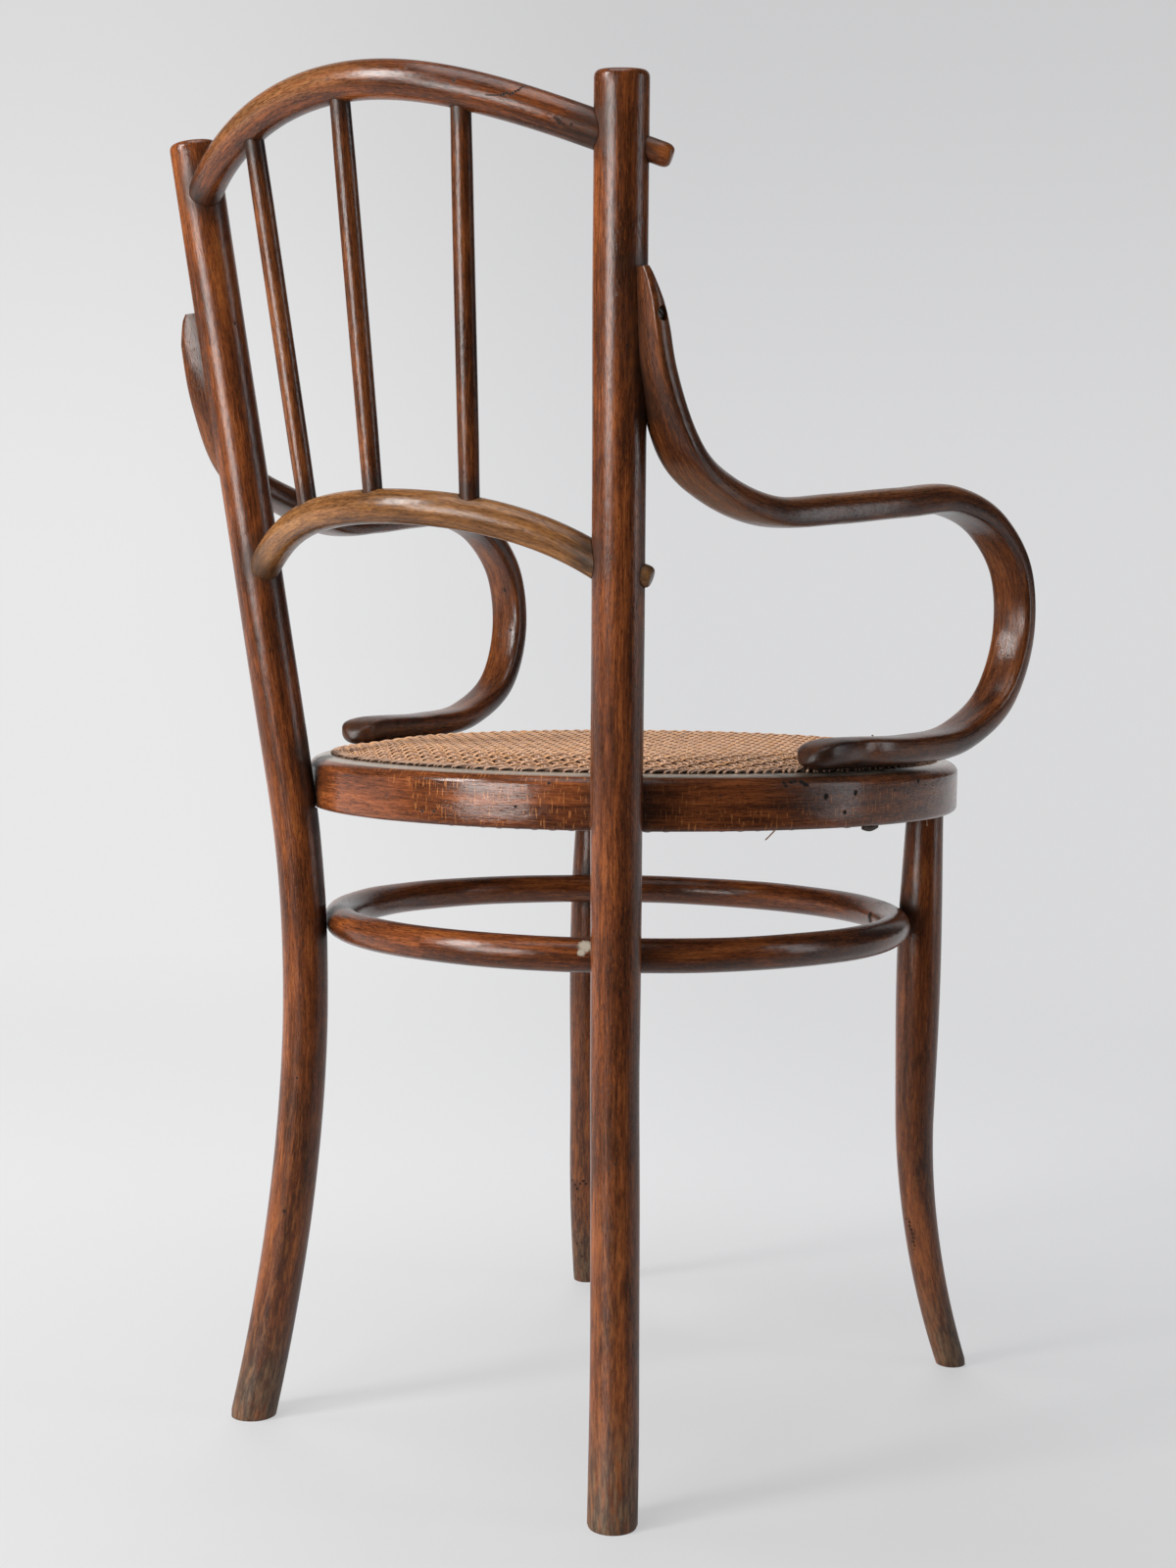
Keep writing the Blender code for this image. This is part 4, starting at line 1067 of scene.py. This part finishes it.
def wood_finish(name, deep, warm, glow, marks, rays=0.0, gloss=0.0):
    """Stained and polished beech: red-brown grain under a dark stain, worn, and grimy with
    painted shade at the joints; the band's upper faces get dust with a painted sheen.
    """
    r = Recipe(name)
    grain = r.attribute("grain", "Vector")
    position = r.position()
    height = r.dot(position, (0.0, 0.0, 1.0))
    blotch = r.noise(grain, (11.0, 55.0, 55.0), 4.0, 0.66)
    bands = r.noise(grain, (5.0, 185.0, 185.0), 2.0, 0.55, (4.0, 2.0, 9.0))
    streak = r.noise(grain, (46.0, 860.0, 860.0), 3.0, 0.65, (3.0, 1.0, 7.0))
    fibre = r.noise(grain, (190.0, 1500.0, 1500.0), 2.0, 0.6, (9.0, 4.0, 2.0))
    pore = r.noise(grain, (230.0, 2300.0, 2300.0), 1.0, 0.5, (1.0, 6.0, 3.0))
    warmth = r.math("MULTIPLY", blotch, 0.50)
    warmth = r.math("MULTIPLY_ADD", bands, 0.18, warmth)
    warmth = r.math("MULTIPLY_ADD", streak, 0.32, warmth)
    colour = r.mix(r.band(warmth, 0.385, 0.600), deep, warm)
    colour = r.over(colour, r.band(warmth, 0.50, 0.65), 0.70, glow)
    shade = (deep[0] * 0.30, deep[1] * 0.32, deep[2] * 0.40)
    colour = r.over(colour, r.band(fibre, 0.50, 0.33), 0.58, shade)
    colour = r.over(colour, r.band(pore, 0.61, 0.73), 0.75, shade)
    colour = r.over(colour, r.band(pore, 0.38, 0.27), 0.45, glow)
    if rays:
        fleck = r.noise(grain, (950.0, 170.0, 130.0), 1.0, 0.5, (2.0, 8.0, 5.0))
        patch = r.noise(grain, (8.0, 10.0, 10.0), 1.0, 0.5, (6.0, 2.0, 2.0))
        shown = r.math("MULTIPLY", r.band(fleck, 0.58, 0.70), r.band(patch, 0.42, 0.58))
        colour = r.over(colour, shown, rays, RAY_FLECK)
        # Dust on the band's upward faces, pale grey and partly a painted sheen where the top
        # catches the light
        facing = r.dot(r.add("NewGeometry").outputs["Normal"], (0.0, 0.0, 1.0))
        colour = r.over(colour, r.band(facing, 0.86, 0.95), 0.75, BAND_DUST_AND_SHEEN)
    dull = r.band(height, 0.36, 0.06)
    fade = r.noise(grain, (70.0, 420.0, 420.0), 4.0, 0.7, (7.0, 7.0, 1.0))
    colour = r.over(colour, r.math("MULTIPLY", dull, r.band(fade, 0.46, 0.66)), 0.42, FADED)
    rubbed = r.noise(grain, (30.0, 260.0, 260.0), 3.0, 0.7, (5.0, 5.0, 1.0))
    worn = r.broken("worn", rubbed, 0.25, 0.60, 0.35)
    colour = r.mix(worn, colour, r.mix(r.band(fibre, 0.35, 0.62), WORN_DARK, WORN_PALE))
    scraped = r.noise(grain, (60.0, 300.0, 300.0), 4.0, 0.7, (4.0, 9.0, 9.0))
    scuff = r.broken("scuff", scraped, 0.28, 0.60)
    colour = r.over(colour, scuff, 0.85, r.mix(r.band(fade, 0.40, 0.62), SCUFF_DARK, SCUFF_PALE))
    # Near-black grime at the joints, laid on as painted shade too: the shadow where pieces meet
    # and under the arm ends
    grime_and_shade_breakup = r.noise(grain, (90.0, 260.0, 260.0), 3.0, 0.6)
    grime = r.broken("grime", grime_and_shade_breakup, 0.25, 0.60, 0.45)
    colour = r.over(colour, grime, 0.88, GRIME_AND_SHADE_TONE)
    colour, holes = add_marks(r, colour, marks)
    rough = r.math("MULTIPLY_ADD", streak, 0.18, 0.13 - gloss)
    for mask, rise in ((holes, 0.70), (dull, 0.12), (worn, 0.06), (scuff, 0.26), (grime, 0.22)):
        rough = r.math("MULTIPLY_ADD", mask, rise, rough)
    dents = r.noise(grain, (110.0, 150.0, 150.0), 2.0, 0.5, (8.0, 3.0, 4.0))
    normal = r.bump(fibre, 0.40, 0.00022)
    normal = r.bump(dents, 0.35, 0.0006, normal)
    normal = r.bump(r.band(pore, 0.75, 0.61), 0.25, 0.0002, normal)
    r.set(Base_Color=colour, Roughness=rough, Normal=normal, Specular_IOR_Level=0.38)
    return r.material


def cane_finish(name, aged=0.0, tinted=0.0, tint=(0.46, 0.300, 0.235)):
    """Split cane: tan, glossier on its skin, browned with age and dust, with painted shade on the
    lower sides of each strand.
    """
    r = Recipe(name)
    grain = r.attribute("grain", "Vector")
    tone = r.attribute("tone")
    position = r.position()
    fibre = r.noise(grain, (45.0, 1500.0, 1500.0), 2.0, 0.6)
    length = r.noise(grain, (30.0, 20.0, 20.0), 2.0, 0.6, (3.0, 0.0, 0.0))
    colour = r.mix(tone, (0.50, 0.265, 0.150), (0.72, 0.440, 0.275))
    colour = r.over(colour, r.band(length, 0.45, 0.66), 0.8, (0.72, 0.36, 0.14))
    colour = r.over(colour, r.band(length, 0.46, 0.30), 0.75, (0.26, 0.135, 0.075))
    colour = r.over(colour, r.band(fibre, 0.50, 0.32), 0.5, (0.17, 0.085, 0.045))
    stain = r.band(r.noise(position, (16.0, 16.0, 16.0), 3.0, 0.6), 0.50, 0.70)
    colour = r.over(colour, stain, 0.30, (0.36, 0.215, 0.150))
    if tinted:
        colour = r.mix(tinted, colour, tint)
    # Painted shade: each strand turns dark brown low in its section, on the sides that lie in the
    # shadow of the weave
    height = r.dot(grain, (0.0, 0.0, 1.0))
    colour = r.over(colour, r.band(height, 0.0002, -0.0003), 0.92, (0.060, 0.028, 0.015))
    if aged:
        colour = r.over(colour, r.band(length, 0.30, 0.60), aged, (0.170, 0.110, 0.075))
    rough = r.math("MULTIPLY_ADD", fibre, 0.25, 0.38)
    r.set(Base_Color=colour, Roughness=rough, Normal=r.bump(fibre, 0.4, 0.0001),
          Specular_IOR_Level=0.35)
    return r.material


def steel_finish(name):
    """Old screws: dark, dull, with brown specks of rust."""
    r = Recipe(name)
    position = r.position()
    rust = r.band(r.noise(position, (900.0, 900.0, 900.0), 3.0, 0.6), 0.45, 0.65)
    colour = r.mix(rust, (0.070, 0.064, 0.060), (0.060, 0.026, 0.012))
    r.set(Base_Color=colour, Metallic=r.band(rust, 0.2, 0.9, 0.9, 0.2),
          Roughness=r.math("MULTIPLY_ADD", rust, 0.35, 0.38),
          Normal=r.bump(r.noise(position, (1500.0, 1500.0, 1500.0), 2.0), 0.3, 0.0001))
    return r.material


def make_finishes(marks):
    """Every finish by its name here; the woods share one recipe and the same marks."""
    return {
        "wood": wood_finish("stained_beech", (0.040, 0.0122, 0.0046), (0.168, 0.043, 0.0108),
                            (0.300, 0.094, 0.023), marks),
        "dark": wood_finish("darkened_beech", (0.031, 0.0100, 0.0042), (0.130, 0.036, 0.0098),
                            (0.240, 0.080, 0.022), marks),
        "rim": wood_finish("stained_beech_band", (0.050, 0.0145, 0.0056),
                           (0.180, 0.048, 0.0132), (0.295, 0.090, 0.026), marks,
                           rays=0.45, gloss=0.03),
        "golden": wood_finish("golden_beech", (0.062, 0.023, 0.0070), (0.215, 0.084, 0.022),
                              (0.350, 0.165, 0.052), marks),
        "cane": cane_finish("split_cane"),
        # A copy of the cane tinted pinkish grey: painted sheen for the diagonals that run away
        # from the camera
        "cane_grey": cane_finish("greyed_cane", tinted=0.50),
        "cane_edge": cane_finish("aged_cane", aged=0.55, tinted=0.40),
        "cane_torn": cane_finish("blackened_cane", tinted=0.94, tint=(0.018, 0.013, 0.010)),
        "steel": steel_finish("old_steel"),
    }


# Where hands, backs and years have rubbed the stain. Each takes points and normals.

def worn_crest(places, normals):
    facing = smooth_step(0.15, 0.80, normals @ np.array((0.0, 0.80, 0.60)))
    ends = smooth_step(-0.06, 0.02, places[:, 0]) * (1 - smooth_step(0.10, 0.16, places[:, 0]))
    return 0.36 * facing * ends


def worn_lower(places, normals):
    return 0.20 * smooth_step(0.2, 0.9, normals @ np.array((0.0, 0.9, 0.44)))


def worn_rim(places, normals):
    share = np.sqrt((places[:, 0] / SEAT_HALF_WIDTH) ** 2 + (places[:, 1] / SEAT_HALF_DEPTH) ** 2)
    inside = (1 - share) * SEAT_HALF_WIDTH
    on_top = smooth_step(0.9, 0.99, normals[:, 2])
    strip = smooth_step(0.007, 0.011, inside) * (1 - smooth_step(0.017, 0.020, inside))
    return 0.25 * on_top * strip


def worn_arm(places, normals):
    return 0.25 * smooth_step(0.5, 0.95, normals[:, 2]) * smooth_step(0.60, 0.66, places[:, 2])


# Marks on the wood, by their place in the photograph's pixels and their size in mm. Each is
# put on the surface that the camera sees there.

PHOTO_SIZE = (1200, 1600)
MARKS = {
    "dark": [
        # The crack in the crest rail
        (496, 97, 0.6), (498, 97, 0.6), (500, 97, 0.6), (502, 97, 0.6), (504, 97, 0.6),
        (506, 97, 0.6), (508, 97, 0.7), (511, 97, 0.9), (514, 96, 1.1), (517, 95, 1.0),
        (520, 96, 0.9), (523, 95, 1.0), (526, 93, 1.0), (529, 92, 1.1), (531, 90, 0.9),
        (533, 89, 0.8), (536, 88, 0.7),
        # Holes and chips along the seat band
        (431, 828, 1.1), (443, 828, 1.1), (526, 823, 1.2), (560, 799, 1.2), (394, 812, 0.9),
        (800, 799, 1.4), (802, 802, 1.3), (807, 798, 1.6), (811, 797, 1.6), (818, 798, 2.0),
        (821, 800, 1.9), (824, 801, 1.3), (843, 813, 2.2), (873, 809, 2.0), (862, 829, 1.6),
        (937, 797, 1.9), (913, 806, 0.9), (735, 812, 0.9),
        # Small holes in the far front leg
        (587, 1220, 0.7), (590, 1223, 0.8), (588, 1257, 0.7), (589, 1269, 0.9),
        (593, 1268, 0.8), (594, 1282, 0.9),
        # Single holes elsewhere
        (640, 352, 0.9), (628, 1188, 0.9), (640, 1012, 0.8), (612, 742, 0.8), (521, 643, 1.2),
        (303, 1100, 1.0), (265, 420, 1.0),
    ],
    "dent": [
        # Chips in the crest rail
        (463, 82, 1.4), (566, 120, 1.1), (569, 122, 1.5), (571, 125, 1.9), (575, 127, 1.3),
        (583, 127, 1.2),
        # The gouge in the near front leg
        (925, 1244, 0.9), (928, 1247, 1.2), (928, 1251, 1.5), (930, 1255, 1.7),
        (931, 1259, 1.8), (932, 1263, 1.8), (932, 1267, 1.6), (933, 1271, 1.3),
        (933, 1275, 0.9),
        # The patch on the far front leg
        (584, 1204, 1.1), (587, 1209, 1.5), (589, 1213, 1.6), (592, 1208, 1.2),
        (595, 1205, 1.4), (598, 1208, 1.3),
        # Single dents elsewhere
        (515, 602, 2.2), (290, 1236, 1.4), (240, 330, 1.2),
    ],
    # The pale spot on the ring
    "pale": [(597, 965, 4.5), (593, 972, 2.6)],
}


def camera_axes():
    """The camera's place and its right, up and forward directions."""
    forward = Vector((math.cos(CAMERA_YAW) * math.cos(CAMERA_PITCH),
                      math.sin(CAMERA_YAW) * math.cos(CAMERA_PITCH), math.sin(CAMERA_PITCH)))
    level = forward.cross(Vector((0, 0, 1))).normalized()
    upright = level.cross(forward)
    right = level * math.cos(CAMERA_ROLL) + upright * math.sin(CAMERA_ROLL)
    up = upright * math.cos(CAMERA_ROLL) - level * math.sin(CAMERA_ROLL)
    return CAMERA_PLACE + Vector(SEAT_SHIFT), right, up, forward


def place_marks(pieces):
    """Put each mark on the first piece of wood that the camera sees at its pixel."""
    place, right, up, forward = camera_axes()
    focal = CAMERA_LENS / CAMERA_SENSOR * PHOTO_SIZE[1]
    trees = [BVHTree.FromPolygons([v.co for v in piece.data.vertices],
                                  [tuple(p.vertices) for p in piece.data.polygons])
             for piece in pieces]
    marks = {kind: [] for kind in MARKS}
    for kind, spots in MARKS.items():
        for across, down, size in spots:
            direction = (forward + right * ((across - PHOTO_SIZE[0] / 2) / focal)
                         - up * ((down - PHOTO_SIZE[1] / 2) / focal)).normalized()
            hits = [tree.ray_cast(place, direction) for tree in trees]
            hits = [hit for hit in hits if hit[0] is not None]
            if hits:
                nearest = min(hits, key=lambda hit: hit[3])
                marks[kind].append((nearest[0], size / 1000))
    return marks


# The cane pieces whose finish isn't the aged one of the binder, its knots and its loops
CANE_FINISHES = {"cane_long": "cane", "cane_cross": "cane", "cane_rising": "cane",
                 # The falling diagonals take the copy of the cane with the painted sheen
                 "cane_falling": "cane_grey", "cane_loose_ends": "cane",
                 "cane_torn_end": "cane_torn"}


def build_chair():
    """Every shaped piece, settled, marked, worn and dressed in the place of its node."""
    posts, legs, arms = make_posts(), make_legs(), make_arms()
    woods = []
    for side_name in SIDES:
        woods.append((posts[side_name], "rear_post_" + side_name, STAINED, "wood", None))
        woods.append((legs[side_name], "front_leg_" + side_name, STAINED, "wood", None))
        woods.append((arms[side_name], "arm_" + side_name, STAINED, "dark", worn_arm))
    woods.append((make_rail(CREST), "crest_rail", STAINED, "wood", worn_crest))
    woods.append((make_rail(LOWER), "lower_back_rail", GOLDEN, "golden", worn_lower))
    woods.append((make_ring(), "stretcher_ring", STAINED, "wood", None))
    woods.append((make_rim(), "seat_rim", STAINED, "rim", worn_rim))
    for spindle in make_spindles():
        woods.append((spindle, spindle.name.replace("_wood", ""), STAINED, "dark", None))
    for wood in woods:
        settle(wood[0])
    for tool in CUTTERS:
        bpy.data.objects.remove(tool, do_unlink=True)
    finishes = make_finishes(place_marks([wood[0] for wood in woods]))
    for piece, node, slot, finish, worn in woods:
        wear(piece, worn)
        dress(piece, node, finishes[finish])
    for piece in make_cane():
        piece.data.shade_smooth()
        finish = CANE_FINISHES.get(piece.name, "cane_edge")
        dress(piece, "cane_panel", finishes[finish])
    for screw, node in make_screws():
        dress(screw, node, finishes["steel"])
    for name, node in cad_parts.items():
        if "_pin_" in name:
            node.data.materials.clear()
            node.data.materials.append(finishes["steel"])


def dress(piece, node, finish):
    """Give a piece its finish, and put it in the place of its node."""
    piece.data.materials.clear()
    piece.data.materials.append(finish)
    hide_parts(node)
    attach(piece, "root")


# Stage: a pale seamless floor and backdrop, brighter at the left as in the photograph. The
# camera sees both at their own colour; reflections see them where they stand behind the
# chair, and a dim room elsewhere.

BACK_LEFT, BACK_RIGHT = (0.812, 0.812, 0.816), (0.694, 0.696, 0.706)
FLOOR_PLAIN, FLOOR_SHADE, FLOOR_DIM = (0.42, 0.42, 0.425), (0.22, 0.22, 0.222), (0.06, 0.06, 0.06)
FLOOR_GLOW = 0.74
ROOM, ROOM_DIM = (0.92, 0.95, 1.0), (0.95, 0.97, 1.0)
VIEW = Vector((math.cos(CAMERA_YAW), math.sin(CAMERA_YAW), 0.0))
VIEW_LEFT = Vector((-VIEW.y, VIEW.x, 0.0))


def empty_tree(owner):
    """The nodes of a new material or world, cleared."""
    owner.use_nodes = True
    owner.node_tree.nodes.clear()
    return Nodes(owner.node_tree)


def backdrop(n, aside):
    """The backdrop's colour, brighter to the left."""
    return n.mix(n.band(aside, -0.05, 0.22), BACK_RIGHT, BACK_LEFT)


def make_stage():
    """The floor keeps the shadow near the chair and melts into the backdrop far away."""
    bpy.ops.mesh.primitive_plane_add(size=60.0, location=(0, 0, -0.0002))
    floor = bpy.context.object
    floor.name = "floor"
    material = bpy.data.materials.new("pale_floor")
    n = empty_tree(material)
    position = n.position()
    reach = n.add("VectorMath", {0: position}, operation="LENGTH").outputs["Value"]
    left = n.math("ADD", n.dot(position, VIEW_LEFT), 0.17)
    pale = backdrop(n, n.math("DIVIDE", left, n.math("ADD", reach, 1.6)))
    behind = n.dot(position, VIEW)
    # Painted light: the floor's glow is set dimmer towards the camera side and, through pale,
    # brighter to the left
    toward = n.band(behind, -0.25, 0.75, 0.82 * FLOOR_GLOW, 0.96 * FLOOR_GLOW)
    glow = n.flat("Emission", n.mix(0.55, pale, BACK_RIGHT), Strength=toward)
    near = n.add("AddShader", {0: n.flat("BsdfDiffuse", FLOOR_SHADE), 1: glow}).outputs[0]
    shown = n.mix_shader(n.band(reach, 0.6, 2.4), near, n.flat("Emission", pale))
    mirrored = n.mix_shader(n.band(behind, -0.9, -0.1), n.flat("BsdfDiffuse", FLOOR_DIM), shown)
    surface = n.by_ray(n.flat("BsdfDiffuse", FLOOR_PLAIN), mirrored, shown)
    n.add("OutputMaterial", {"Surface": surface})
    floor.data.materials.append(material)


def make_world():
    """A dim room for the light, and the pale backdrop for the camera."""
    world = bpy.data.worlds.new("studio")
    bpy.context.scene.world = world
    n = empty_tree(world)
    direction = n.add("TexCoord").outputs["Generated"]
    dusk = n.band(n.dot(direction, (0.0, 0.0, 1.0)), 0.02, 0.31, 1.0, 0.86)
    pale = n.flat("Background", backdrop(n, n.dot(direction, VIEW_LEFT)), Strength=dusk)
    room = n.flat("Background", ROOM, Strength=0.12)
    dim = n.flat("Background", ROOM_DIM, Strength=0.05)
    raised = (VIEW + Vector((0.0, 0.0, 0.29))).normalized()
    mirrored = n.mix_shader(n.band(n.dot(direction, raised), 0.78, 0.96), dim, pale)
    n.add("OutputWorld", {"Surface": n.by_ray(room, mirrored, pale)})


def make_lamp(name, turn, distance, height, size, power, colour, aim=0.5, mirrored=True):
    """A softbox: turn is its angle to the left of the camera, seen from the chair."""
    direction = Matrix.Rotation(math.radians(-turn), 4, "Z") @ -VIEW
    light = bpy.data.lights.new(name, "AREA")
    light.shape = "RECTANGLE"
    light.size, light.size_y = size
    light.energy = power
    light.color = colour
    lamp = add_object(name, light)
    lamp.location = direction * distance + Vector((0, 0, height))
    lamp.rotation_mode = "QUATERNION"
    lamp.rotation_quaternion = (Vector((0, 0, aim)) - lamp.location).to_track_quat("-Z", "Y")
    lamp.visible_glossy = mirrored


def make_lights():
    """The studio's lamps; the fill from the chair's front has none like it in the photograph."""
    make_lamp("key_softbox", 60, 2.05, 1.55, (0.48, 1.10), 40.0, (1.0, 0.985, 0.965))
    make_lamp("low_softbox", 41, 2.05, 0.62, (0.90, 0.70), 25.0, (1.0, 0.985, 0.965), 0.45)
    make_lamp("side_window", 98, 2.2, 0.50, (1.2, 0.9), 24.0, (1.0, 0.98, 0.95), 0.3, False)
    make_lamp("edge_strip", -77, 2.2, 0.95, (0.5, 1.5), 9.0, (0.92, 0.96, 1.0))
    make_lamp("top_softbox", 20, 0.6, 2.6, (1.4, 1.4), 20.0, (0.98, 0.99, 1.0))
    make_lamp("front_fill", 172, 1.9, 2.3, (1.8, 1.4), 38.0, (0.98, 0.99, 1.0), 0.4, False)


def make_camera():
    """The photograph's view."""
    camera = bpy.data.cameras.new("photo_camera")
    camera.lens = CAMERA_LENS
    camera.sensor_width = CAMERA_SENSOR
    camera.clip_start, camera.clip_end = 0.05, 100.0
    place, right, up, forward = camera_axes()
    holder = add_object("photo_camera", camera)
    turn = Matrix((right, up, -forward)).transposed().to_4x4()
    holder.matrix_world = Matrix.Translation(place) @ turn
    bpy.context.scene.camera = holder


build_chair()
make_stage()
make_world()
make_lights()
make_camera()
bpy.context.scene.view_settings.view_transform = "Standard"
